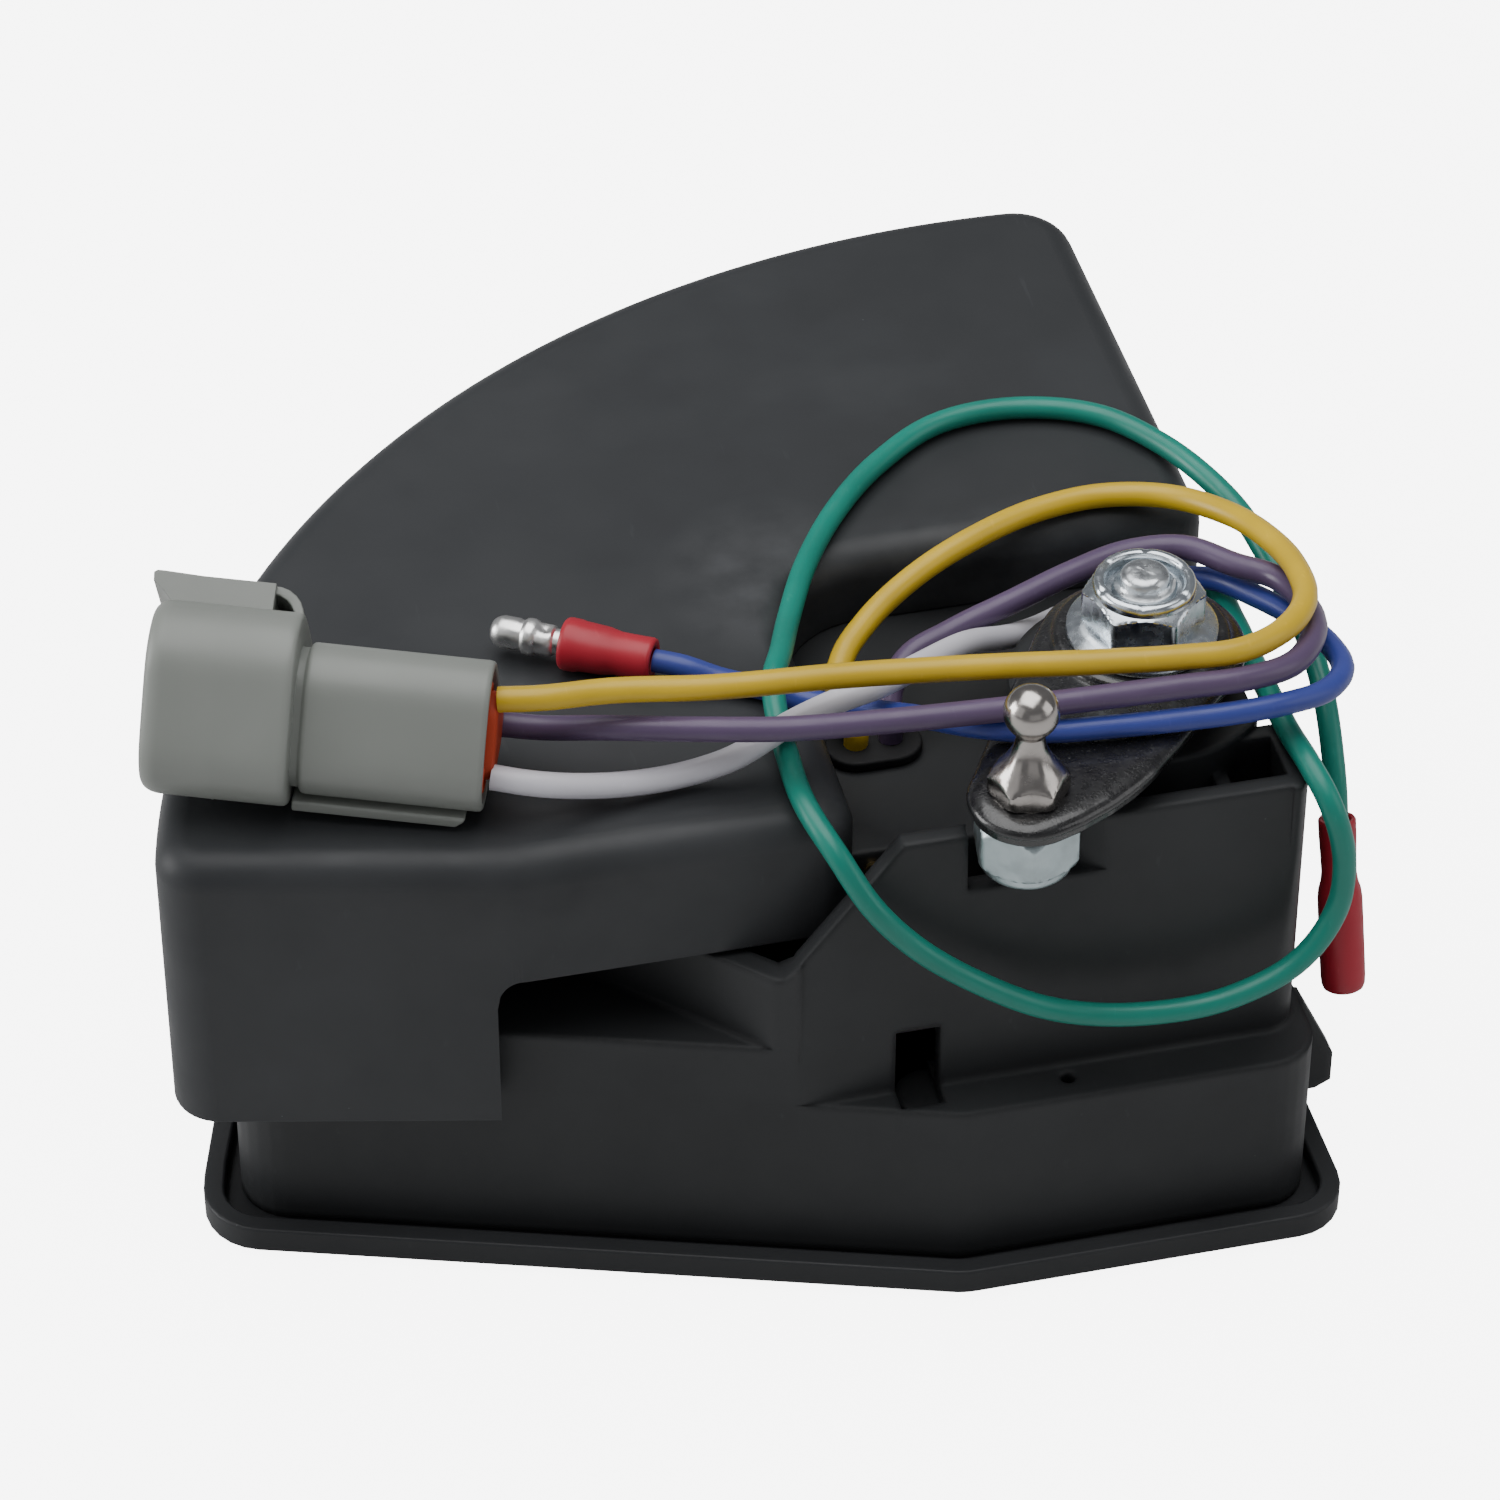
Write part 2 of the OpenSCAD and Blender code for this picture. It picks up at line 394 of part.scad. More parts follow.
blue_p = [[-6.92, -21.06, 69.85], [-4, -22.7, 69.8], [0.4, -24.5, 68.4], [5, -27, 68.05], [10.3, -30.8, 68.05], [15, -33.6, 68.3], [18, -36.2, 69.2],
  [21.8, -41, 71.5], [27, -46.6, 73.6], [34, -49.3, 73.8], [42, -50.3, 73.8], [52, -51, 73.8], [58, -51.2, 73.8], [64, -50.5, 73.5],
  [69.6, -48, 72.4], [73.3, -43, 71], [73.8, -36.5, 69.6], [71.9, -28.4, 68], [69, -22.2, 66.9], [65, -16.4, 65.9], [59.6, -13, 64.2],
  [55, -10.9, 62], [53.6, -10, 59.6], [53.6, -10, 57.4]];
green_p = [[57.2, -10, 57.4], [57.3, -10, 59.2], [59.4, -9.6, 61.2], [63.2, -10.6, 62], [66.2, -14.6, 62.4], [66.6, -21.5, 62.9], [66, -31, 64.2], [65.1, -40, 66.6],
  [65.2, -48, 66.8], [65.7, -54.6, 67], [66.8, -59, 65], [68.2, -61, 60], [68.8, -61.2, 54.6], [68.2, -61.2, 49], [63.9, -62.3, 43], [55.4, -63.2, 39.4],
  [44.1, -63.2, 38.8], [33.1, -62.6, 41.2], [23.3, -61.8, 47], [15.1, -60.9, 54.2], [10.4, -60, 60.4], [7.2, -56.6, 65.8], [5, -50.3, 68.4],
  [4.9, -41.1, 68.8], [5, -34.7, 70.6], [5.7, -30.2, 71.5], [8, -24.5, 71.1], [11.2, -15.5, 69], [16.2, -4.2, 68.1],
  [21.9, 4.7, 68.1], [29.9, 13.5, 68.1], [39.7, 19.9, 68.1], [51.5, 20.3, 68.1], [60.1, 16.4, 68.1], [65.3, 10, 68.1], [69.2, 2.4, 67.8],
  [72, -4.5, 66.6], [73.4, -12, 65.2], [74.3, -20.4, 63.6], [74.8, -28.2, 61.4], [74.6, -34.1, 59], [74.2, -39.4, 54.8], [74, -42.3, 50.9], [74, -43.4, 47.6]];
module yellow_lead() color([0.86, 0.68, 0.2]) tube(yellow_p, lead_r);
module purple_lead() color([0.33, 0.24, 0.42]) tube(purple_p, lead_r);
module white_lead() color([0.9, 0.9, 0.92]) tube(white_p, lead_r);
module blue_lead() color([0.16, 0.24, 0.7]) tube(blue_p, lead_s);
module green_lead() color([0.1, 0.58, 0.48]) tube(green_p, lead_s);

// ---- plug -------------------------------------------------------------
// placed with its axis along local +X, mating face at local x = 0
module plug_at() translate([-69.5, -23.6, 78.0]) rotate([0, 0, -18.5]) rotate([0, 3.3, 0]) children();
collar_up = 1.1;      // collar's middle above the rear body's
// rounded triangle: rho to the flats, corner radius c, first flat facing the camera side
function tri(rho, c) = let (v = 2 * rho) rp([for (a = [332, 92, 212]) [v * cos(a), v * sin(a), c]], 8);
module prism(rho, c, x0, x1) translate([x0, 0, 0]) rotate([90, 0, 90]) linear_extrude(x1 - x0) polygon(tri(rho, c));
module plug_shell() color([0.47, 0.48, 0.46]) plug_at() difference() {
  union() {
    translate([0, 0, collar_up]) prism(9.7, 7.2, 1.4, 19.6);
    prism(7.5, 5.4, 19, 41.7);
    // latch on the upper back side
    rotate([-58, 0, 0]) translate([0.2, -5, 9.3]) cube([16.2, 10, 4.9]);
    rotate([-58, 0, 0]) translate([14.4, -4.2, 9.3]) cube([3.8, 8.4, 4.2]);
    // rail along the bottom
    rotate([182, 0, 0]) translate([19, -4, 6.4]) cube([20.4, 12.3, 1.75]);
  }
  translate([0, 0, collar_up]) prism(7.8, 5.7, -1, 17);
  prism(6.6, 4.8, 38.2, 43);
  for (a = [92, 212, 332]) rotate([a, 0, 0]) translate([15, 5.4, 0]) rotate([0, 90, 0]) cylinder(r = 1.7, h = 25);
}
module plug_rear_seal() color([0.75, 0.25, 0.12]) plug_at() { prism(6.45, 4.7, 38.3, 41.8); prism(5.9, 4.3, 41.7, 43.6); }
module plug_wedge() color([0.8, 0.4, 0.1]) plug_at() translate([0, 0, collar_up]) prism(6.2, 4.6, 7, 17);
module plug_contacts() color([0.8, 0.75, 0.6]) plug_at() for (a = [92, 212, 332]) rotate([a, 0, 0]) translate([18, 5.4, 0]) rotate([0, 90, 0]) cylinder(r = 1.2, h = 18.6);

// ---- bullets ------------------------------------------------------------
module male_at() translate([-24.9, -10.6, 69.85]) rotate([0, 0, -30.2]) children();
module male_bullet_pin() color([0.78, 0.78, 0.76]) male_at() rotate([0, 90, 0]) {
  cylinder(r1 = 1.3, r2 = 2, h = 1.4);
  translate([0, 0, 1.4]) cylinder(r = 2, h = 6.6);
  translate([0, 0, 4.2]) cylinder(r = 2.3, h = 1.6);
  translate([0, 0, 7.8]) cylinder(r = 1.6, h = 1.4);
}
module male_bullet_sleeve() color([0.78, 0.16, 0.2]) male_at() rotate([0, 90, 0]) {
  translate([0, 0, 9.2]) cylinder(r = 3.1, h = 6.4);
  translate([0, 0, 9.2]) cylinder(r = 3.3, h = 2.2);
  translate([0, 0, 15.4]) cylinder(r1 = 3.1, r2 = 2.7, h = 1);
  translate([0, 0, 16.3]) cylinder(r = 2.7, h = 4.5);
}
module fem_at() translate([74, -43.4, 47.6]) rotate([-18.5, 0, 0]) rotate([180, 0, 0]) children();
module female_bullet_sleeve() color([0.78, 0.16, 0.2]) fem_at() difference() {
  union() {
    cylinder(r = 2.3, h = 9);
    translate([0, 0, 8.2]) cylinder(r1 = 2.3, r2 = 2.8, h = 1.4);
    translate([0, 0, 9.5]) cylinder(r = 2.8, h = 13.6);
  }
  translate([0, 0, 9.2]) cylinder(r = 2.3, h = 20);
}
module female_bullet_socket() color([0.8, 0.7, 0.4]) fem_at() difference() {
  translate([0, 0, 9.2]) cylinder(r = 2.3, h = 13.4);
  translate([0, 0, 10.6]) cylinder(r = 2.02, h = 20);
}

base_tray();
tray_gasket();
tray_screws();
housing();
hood();
hood_screws();
upper_bush();
lower_bush();
pivot_shaft();
throttle_arm();
pivot_nut();
thrust_washer();
ball_stud();
ball_stud_nut();
retaining_clip();
return_spring();
wiper_rotor();
wiper_contact();
resistor_board();
board_screws();
board_terminals();
switch_cam();
limit_switch();
switch_plunger();
switch_terminals();
switch_screws();
brass_pin();
lead_grommet_left();
lead_grommet_right();
yellow_lead();
purple_lead();
white_lead();
blue_lead();
green_lead();
plug_shell();
plug_rear_seal();
plug_wedge();
plug_contacts();
male_bullet_pin();
male_bullet_sleeve();
female_bullet_sleeve();
female_bullet_socket();
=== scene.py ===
import json
import math
import bpy
import bmesh
from mathutils import Vector, Matrix, noise


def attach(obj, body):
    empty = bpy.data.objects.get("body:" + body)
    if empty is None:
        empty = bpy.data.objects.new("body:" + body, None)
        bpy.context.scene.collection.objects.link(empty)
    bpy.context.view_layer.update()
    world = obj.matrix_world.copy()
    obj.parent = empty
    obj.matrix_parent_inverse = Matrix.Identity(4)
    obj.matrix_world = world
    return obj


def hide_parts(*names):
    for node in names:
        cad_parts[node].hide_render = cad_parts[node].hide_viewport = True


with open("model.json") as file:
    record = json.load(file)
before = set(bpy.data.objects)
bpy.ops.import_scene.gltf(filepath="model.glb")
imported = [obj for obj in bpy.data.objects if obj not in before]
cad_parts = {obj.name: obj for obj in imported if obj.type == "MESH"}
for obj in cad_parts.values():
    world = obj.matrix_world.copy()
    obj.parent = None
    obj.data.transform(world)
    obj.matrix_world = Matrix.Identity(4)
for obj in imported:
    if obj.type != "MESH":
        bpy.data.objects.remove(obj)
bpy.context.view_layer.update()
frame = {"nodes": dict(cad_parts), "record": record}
MM = 0.001
sin, cos, rad = math.sin, math.cos, math.radians
ROOT, ARM, BUTTON = "housing_group", "throttle_shaft", "switch_button"

# ---------------------------------------------------------------- camera
cam_data = bpy.data.cameras.new("camera")
cam = bpy.data.objects.new("camera", cam_data)
bpy.context.scene.collection.objects.link(cam)
bpy.context.scene.camera = cam
cam_data.lens = 140.4
cam_data.sensor_width = 36.0
cam_data.clip_start = 0.01
cam.location = Vector((-121.2, -559.1, 517.1)) * MM
cam.rotation_euler = (Vector((10, 0.3, 35)) * MM - cam.location).to_track_quat("-Z", "Y").to_euler()


# ---------------------------------------------------------------- materials
def sock(n, *names):
    for k in names:
        if k in n.inputs:
            return n.inputs[k]


class Mat:
    """A node material whose colour, roughness and relief vary over the surface."""

    def __init__(self, name, color, rough, metal=0.0, spec=0.5, coat=0.0, coat_rough=0.1, ior=1.46):
        self.m = bpy.data.materials.new(name)
        self.m.use_nodes = True
        self.m.diffuse_color = (*color, 1)
        self.t = self.m.node_tree
        self.b = self.t.nodes["Principled BSDF"]
        self.color, self.rough = color, rough
        sock(self.b, "Metallic").default_value = metal
        sock(self.b, "Specular IOR Level", "Specular").default_value = spec
        sock(self.b, "IOR").default_value = ior
        sock(self.b, "Coat Weight", "Clearcoat").default_value = coat
        sock(self.b, "Coat Roughness", "Clearcoat Roughness").default_value = coat_rough
        sock(self.b, "Base Color").default_value = (*color, 1)
        sock(self.b, "Roughness").default_value = rough
        self.co = self.t.nodes.new("ShaderNodeTexCoord")
        self.normal = None
        self.col = None
        self.rgh = None

    def n(self, kind, **kw):
        x = self.t.nodes.new(kind)
        for k, v in kw.items():
            setattr(x, k, v)
        return x

    def link(self, a, b):
        self.t.links.new(a, b)

    def vec(self, stretch=None, rot=None):
        if stretch is None:
            return self.co.outputs["Object"]
        mp = self.n("ShaderNodeMapping")
        mp.inputs["Scale"].default_value = stretch
        if rot:
            mp.inputs["Rotation"].default_value = rot
        self.link(self.co.outputs["Object"], mp.inputs["Vector"])
        return mp.outputs["Vector"]

    def noise(self, scale, detail=3.0, stretch=None, rot=None, rough=0.5):
        x = self.n("ShaderNodeTexNoise")
        x.inputs["Scale"].default_value = scale
        x.inputs["Detail"].default_value = detail
        x.inputs["Roughness"].default_value = rough
        self.link(self.vec(stretch, rot), x.inputs["Vector"])
        return x.outputs["Fac"]

    def voronoi(self, scale):
        x = self.n("ShaderNodeTexVoronoi")
        x.inputs["Scale"].default_value = scale
        self.link(self.vec(), x.inputs["Vector"])
        return x.outputs["Distance"]

    def ramp(self, fac, lo, hi, a=0.0, b=1.0):
        x = self.n("ShaderNodeMapRange")
        x.inputs["From Min"].default_value = lo
        x.inputs["From Max"].default_value = hi
        x.inputs["To Min"].default_value = a
        x.inputs["To Max"].default_value = b
        self.link(fac, x.inputs["Value"])
        return x.outputs["Result"]

    def tint(self, fac, color):
        """Mixes color over the base where fac is 1."""
        x = self.n("ShaderNodeMix", data_type="RGBA")
        if self.col is None:
            x.inputs["A"].default_value = (*self.color, 1)
            for i in x.inputs:
                if i.name == "A" and i.type == "RGBA":
                    i.default_value = (*self.color, 1)
        else:
            self.link(self.col, [i for i in x.inputs if i.name == "A" and i.type == "RGBA"][0])
        [i for i in x.inputs if i.name == "B" and i.type == "RGBA"][0].default_value = (*color, 1)
        self.link(fac, [i for i in x.inputs if i.name == "Factor" and i.type == "VALUE"][0])
        self.col = [o for o in x.outputs if o.type == "RGBA"][0]
        self.link(self.col, sock(self.b, "Base Color"))
        return self

    def near(self, point, r0, r1, stretch=(1, 1, 1)):
        """1 within r0 of a point on the surface, 0 beyond r1 (millimetres)."""
        mp = self.n("ShaderNodeMapping")
        mp.inputs["Location"].default_value = tuple(-c * MM * k for c, k in zip(point, stretch))
        mp.inputs["Scale"].default_value = stretch
        self.link(self.co.outputs["Object"], mp.inputs["Vector"])
        x = self.n("ShaderNodeVectorMath", operation="LENGTH")
        self.link(mp.outputs["Vector"], x.inputs[0])
        return self.ramp(x.outputs["Value"], r0 * MM, r1 * MM, 1.0, 0.0)

    def times(self, a, b):
        x = self.n("ShaderNodeMath", operation="MULTIPLY")
        self.link(a, x.inputs[0])
        self.link(b, x.inputs[1])
        return x.outputs[0]

    def soften(self, radius):
        """Shades the edges as if they were rounded by radius millimetres."""
        x = self.n("ShaderNodeBevel")
        x.samples = 6
        x.inputs["Radius"].default_value = radius * MM
        self.normal = x.outputs["Normal"]
        self.link(self.normal, self.b.inputs["Normal"])
        return self

    def gloss(self, fac, a, b):
        self.rgh = self.ramp(fac, 0.3, 0.7, a, b)
        self.link(self.rgh, sock(self.b, "Roughness"))
        return self

    def bump(self, fac, strength, dist):
        x = self.n("ShaderNodeBump")
        x.inputs["Strength"].default_value = strength
        x.inputs["Distance"].default_value = dist
        self.link(fac, x.inputs["Height"])
        if self.normal is not None:
            self.link(self.normal, x.inputs["Normal"])
        self.normal = x.outputs["Normal"]
        self.link(self.normal, self.b.inputs["Normal"])
        return self


def moulded(name, c, r0, r1, haze=0.0, specks=True, spec=0.3, marks=(), edge=0.0):
    """Glass filled nylon: fine grain, faint flow marks, dull patches, a few dust specks, and given spots of painted
    highlight or a nick.
    """
    m = Mat(name, c, (r0 + r1) / 2, spec=spec)
    up = tuple(min(1, x * 1.16 + 0.002) for x in c)
    dn = tuple(x * 0.86 for x in c)
    m.tint(m.ramp(m.noise(30, 3), 0.42, 0.7), up)
    m.tint(m.ramp(m.noise(14, 2), 0.5, 0.72, 0, 0.7), dn)
    if haze:
        m.tint(m.ramp(m.noise(24, 4, (1, 1.6, 1)), 0.58, 0.76, 0, haze), tuple(x * 1.7 + 0.008 for x in c))
    if specks:
        m.tint(m.ramp(m.noise(70, 6, (7, 1, 3), (0.2, 0.3, 0.5)), 0.69, 0.74, 0, 0.14), tuple(x * 2 + 0.015 for x in c))
        m.tint(m.ramp(m.voronoi(170), 0.022, 0.012, 0, 0.4), tuple(x * 3 + 0.04 for x in c))
    for point, q0, q1, stretch, col, mottle_scale in marks:   # given spots: painted highlights mottled by noise, and a nick
        f = m.near(point, q0, q1, stretch)
        m.tint(m.times(f, m.ramp(m.noise(mottle_scale, 4), 0.35, 0.6)) if mottle_scale else f, col)
    m.gloss(m.noise(130, 4), r0, r1)
    if edge:
        m.soften(edge)
    m.bump(m.noise(2600, 2), 0.14, 0.00005)
    m.bump(m.noise(42, 1), 0.07, 0.0005)
    return m.m


def metal(name, c, r0, r1, stain=None, grain=(1, 1, 1), bump=0.12):
    m = Mat(name, c, (r0 + r1) / 2, metal=1.0)
    m.tint(m.ramp(m.noise(260, 4), 0.45, 0.68), tuple(min(1, x * 0.82) for x in c))
    if stain:
        m.tint(m.ramp(m.noise(120, 3), 0.55, 0.72, 0, 0.55), stain)
    m.gloss(m.noise(700, 4), r0, r1)
    m.bump(m.noise(2200, 4, grain), bump, 0.00006)
    m.bump(m.noise(420, 2), 0.1, 0.0002)
    return m.m


def sheath(name, c, r0=0.3, r1=0.42, sub=0.0):
    """Extruded wire cover or vinyl sleeve: smooth, a little uneven, faint scuffs."""
    m = Mat(name, c, r0, spec=0.5)
    m.tint(m.ramp(m.noise(70, 2), 0.4, 0.65), tuple(x * 0.86 for x in c))
    m.tint(m.ramp(m.noise(420, 5, (3, 1, 1)), 0.64, 0.74, 0, 0.25), tuple(min(1, x * 1.25 + 0.03) for x in c))
    m.gloss(m.noise(300, 3), r0, r1)
    m.bump(m.noise(1500, 2), 0.06, 0.00006)
    m.bump(m.noise(170, 1), 0.15, 0.0002)
    return m.m


M = {}
# the first three spots are painted highlights on the notch's inner corner, on the notch's back top edge and on the
# front top fillet; the last is a pale nick at the back
M["hood_plastic"] = moulded("hood_plastic", (0.029, 0.0308, 0.0332), 0.4, 0.52, haze=0.25, marks=(
    ((11.6, -6, 66.4), 2, 15, (1.0, 0.8, 1), (0.062, 0.064, 0.068), 120),
    ((40, -4.6, 66.4), 2, 26, (0.7, 2.6, 1), (0.05, 0.052, 0.055), 150),
    ((-8, -48, 65), 4, 40, (0.6, 3.0, 1.6), (0.04, 0.042, 0.045), 60),
    ((19.3, 61.9, 66.5), 0.3, 0.85, (1, 0.6, 1), (0.2, 0.2, 0.2), 0)))
M["housing_plastic"] = moulded("housing_plastic", (0.0252, 0.0266, 0.0282), 0.38, 0.5, haze=0.15, edge=1.4)
M["tray_plastic"] = moulded("tray_plastic", (0.0245, 0.0257, 0.0275), 0.38, 0.48)
M["switch_plastic"] = moulded("switch_plastic", (0.02, 0.02, 0.022), 0.4, 0.5)
M["rotor_plastic"] = moulded("rotor_plastic", (0.6, 0.56, 0.46), 0.4, 0.5, specks=False)
M["red_plastic"] = moulded("red_plastic", (0.5, 0.04, 0.03), 0.3, 0.4, specks=False)
M["seal_rubber"] = moulded("seal_rubber", (0.014, 0.014, 0.015), 0.6, 0.75, specks=False)
M["orange_rubber"] = moulded("orange_rubber", (0.39, 0.045, 0.016), 0.5, 0.65, specks=False)
M["wedge_plastic"] = moulded("wedge_plastic", (0.55, 0.17, 0.03), 0.35, 0.45, specks=False)
M["plug_plastic"] = moulded("plug_plastic", (0.205, 0.217, 0.2), 0.36, 0.48, specks=False, spec=0.5)
M["board"] = moulded("board", (0.03, 0.16, 0.1), 0.3, 0.4, specks=False)
M["zinc_steel"] = metal("zinc_steel", (0.72, 0.78, 0.83), 0.14, 0.34, stain=(0.8, 0.74, 0.5))
M["zinc_pale"] = metal("zinc_pale", (0.5, 0.58, 0.6), 0.3, 0.5)
M["shaft_steel"] = metal("shaft_steel", (0.66, 0.69, 0.71), 0.2, 0.4, bump=0.5)
M["nickel_steel"] = metal("nickel_steel", (0.47, 0.44, 0.415), 0.15, 0.28)
M["spring_steel"] = metal("spring_steel", (0.3, 0.3, 0.32), 0.3, 0.45)
M["bronze"] = metal("bronze", (0.55, 0.38, 0.2), 0.35, 0.5)
M["brass"] = metal("brass", (0.74, 0.55, 0.25), 0.25, 0.4)
M["tinned_brass"] = metal("tinned_brass", (0.95, 0.945, 0.93), 0.26, 0.42, bump=0.25)
M["yellow_pvc"] = sheath("yellow_pvc", (0.64, 0.42, 0.018))
M["purple_pvc"] = sheath("purple_pvc", (0.102, 0.067, 0.134))
M["white_pvc"] = sheath("white_pvc", (0.62, 0.61, 0.66))
M["blue_pvc"] = sheath("blue_pvc", (0.042, 0.062, 0.3))
M["green_pvc"] = sheath("green_pvc", (0.006, 0.215, 0.16))
M["red_vinyl"] = sheath("red_vinyl", (0.4, 0.017, 0.033), 0.35, 0.5)


def cast_paint():
    m = Mat("arm_casting", (0.0085, 0.0085, 0.0092), 0.26, spec=0.5, coat=0.6, coat_rough=0.12)
    m.tint(m.ramp(m.noise(300, 4), 0.5, 0.7), (0.014, 0.014, 0.0155))
    m.tint(m.ramp(m.noise(2400, 4), 0.62, 0.72, 0, 0.35), (0.12, 0.12, 0.12))
    m.gloss(m.noise(700, 4), 0.2, 0.38)
    m.bump(m.noise(2600, 3), 0.42, 0.00014)
    m.bump(m.noise(900, 2), 0.25, 0.00016)
    m.bump(m.noise(150, 1), 0.15, 0.0005)
    return m.m


M["arm_casting"] = cast_paint()

SLOT = {s["node"]: s["material_slot"] for s in frame["record"]["subparts"]}


# ---------------------------------------------------------------- mesh helpers
def finish_mesh(bm, name, mat, body, sharp=32, replaces=(), weighted=True):
    bmesh.ops.remove_doubles(bm, verts=bm.verts, dist=1e-7)
    bmesh.ops.dissolve_degenerate(bm, edges=bm.edges, dist=1e-8)
    bmesh.ops.recalc_face_normals(bm, faces=bm.faces)
    lim = rad(sharp)
    for f in bm.faces:
        f.smooth = True
    for e in bm.edges:
        if len(e.link_faces) == 2 and e.calc_face_angle(0) > lim:
            e.smooth = False
    me = bpy.data.meshes.new(name)
    bm.to_mesh(me)
    bm.free()
    ob = bpy.data.objects.new(name, me)
    bpy.context.scene.collection.objects.link(ob)
    me.materials.append(M[mat] if isinstance(mat, str) else mat)
    if weighted:
        w = ob.modifiers.new("weighted", "WEIGHTED_NORMAL")
        w.keep_sharp = True
    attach(ob, body)
    if replaces:
        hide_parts(*replaces)
    return ob


def add_loft(bm, rings, closed=True, cap0=True, cap1=True, mtx=None):
    """Quads between rings of equal point count. Points are in mm."""
    vs = []
    for r in rings:
        row = []
        for p in r:
            v = Vector(p) * MM
            row.append(bm.verts.new(mtx @ v if mtx else v))
        vs.append(row)
    n = len(vs[0])
    for a, b in zip(vs, vs[1:]):
        for i in range(n if closed else n - 1):
            j = (i + 1) % n
            try:
                bm.faces.new((a[i], a[j], b[j], b[i]))
            except ValueError:
                pass
    if cap0:
        bm.faces.new(list(reversed(vs[0])))
    if cap1:
        bm.faces.new(vs[-1])
    return vs


def add_cap(bm, pts):
    """Fills a flat outline that may be concave."""
    from mathutils.geometry import tessellate_polygon
    vs = [bm.verts.new(Vector(p) * MM) for p in pts]
    for t in tessellate_polygon([[Vector(p) for p in pts]]):
        try:
            bm.faces.new([vs[i] for i in t])
        except ValueError:
            pass


def revolve(bm, prof, n=64, center=(0, 0), mtx=None, phase=0.0):
    """prof: (r, z) or function of angle returning that list."""
    rings = []
    cols = []
    for k in range(n):
        a = 2 * math.pi * k / n + phase
        p = prof(a) if callable(prof) else prof
        cols.append([(center[0] + r * cos(a), center[1] + r * sin(a), z) for r, z in p])
    m = len(cols[0])
    for i in range(m):
        rings.append([c[i] for c in cols])
    return add_loft(bm, rings, mtx=mtx, cap0=True, cap1=True)


def unit(v):
    l = math.hypot(*v)
    return (v[0] / l, v[1] / l)


def rp(c, n=8):
    out = []
    L = len(c)
    for i in range(L):
        p, r = c[i][:2], c[i][2]
        a, b = c[i - 1], c[(i + 1) % L]
        if r < 0.05:
            out.append((p[0], p[1]))
            continue
        u = unit((a[0] - p[0], a[1] - p[1]))
        v = unit((b[0] - p[0], b[1] - p[1]))
        th = math.acos(max(-1, min(1, u[0] * v[0] + u[1] * v[1])))
        m = unit((u[0] + v[0], u[1] + v[1]))
        o = (p[0] + m[0] * r / sin(th / 2), p[1] + m[1] * r / sin(th / 2))
        d = r / math.tan(th / 2)
        a0 = math.atan2(p[1] + u[1] * d - o[1], p[0] + u[0] * d - o[0])
        a1 = math.atan2(p[1] + v[1] * d - o[1], p[0] + v[0] * d - o[0])
        da = (a1 - a0 + math.pi) % (2 * math.pi) - math.pi
        for k in range(n + 1):
            t = a0 + da * k / n
            out.append((o[0] + r * cos(t), o[1] + r * sin(t)))
    return out


AC = (54.5, -59.2)


def hit(p, t, r):
    q = (p[0] - AC[0], p[1] - AC[1])
    b = q[0] * t[0] + q[1] * t[1]
    k = -b + math.sqrt(b * b - q[0] ** 2 - q[1] ** 2 + r * r)
    return (p[0] + t[0] * k, p[1] + t[1] * k)


def arc(r, p0, p1, n, r0, r1):
    """Points along the big curve between two corners, clear of their roundings r0 and r1."""
    a0 = math.atan2(p0[1] - AC[1], p0[0] - AC[0]) + (0.94 * r0 + 0.8) / r
    a1 = math.atan2(p1[1] - AC[1], p1[0] - AC[0]) - (0.94 * r1 + 0.8) / r
    return [(AC[0] + r * cos(a0 + (a1 - a0) * k / n), AC[1] + r * sin(a0 + (a1 - a0) * k / n), 0) for k in range(n + 1)]


def hood_o(d, n=10, na=60):
    s = rad(12.7)
    nn = (sin(s), cos(s))
    fl = hit((-30 + nn[0] * d, -50.9 + nn[1] * d), (-cos(s), sin(s)), 127.4 - d)
    br = hit((68.5 - d, 0), (0, 1), 127.4 - d)
    return rp([(-30 + d * 0.1115, -50.9 + d, 10), (11.5 - d, -50.9 + d, max(0.35, 4.5 - d)),
               (11.5 - d, -2.7 + d, 12 + d), (68.5 - d, -2.7 + d, max(0.3, 3 - d)),
               (br[0], br[1], max(1, 8 - d))] + arc(127.4 - d, br, fl, na, max(1, 8 - d), max(1, 6 - d))
              + [(fl[0], fl[1], max(1, 6 - d))], n)


# ---------------------------------------------------------------- leads
def lead(name, pts, r, mat):
    cu = bpy.data.curves.new(name, "CURVE")
    cu.dimensions = "3D"
    cu.bevel_depth = r * MM
    cu.bevel_resolution = 5
    cu.use_fill_caps = True
    cu.resolution_u = 7
    sp = cu.splines.new("BEZIER")
    P = [Vector(p) * MM for p in pts]
    sp.bezier_points.add(len(P) - 1)
    hs = []
    for i, p in enumerate(P):
        a = P[i - 1] if i else p - (P[1] - p)
        b = P[i + 1] if i < len(P) - 1 else p + (p - P[i - 1])
        la, lb = (p - a).length, (b - p).length
        t = ((p - a) * (lb / la) + (b - p) * (la / lb)).normalized()
        hs.append((p - t * la / 3, p + t * lb / 3))
        q = sp.bezier_points[i]
        q.co = p
        q.handle_left_type = q.handle_right_type = "FREE"
        q.handle_left, q.handle_right = hs[-1]
    for i in range(len(P) - 1):
        a, b, c, d = P[i], hs[i][1], hs[i + 1][0], P[i + 1]
        for k in range(1, 17):
            t = k / 16
    ob = bpy.data.objects.new(name, cu)
    bpy.context.scene.collection.objects.link(ob)
    cu.materials.append(M[mat])
    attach(ob, ROOT)
    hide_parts(name.replace("_cover", ""))
    return ob


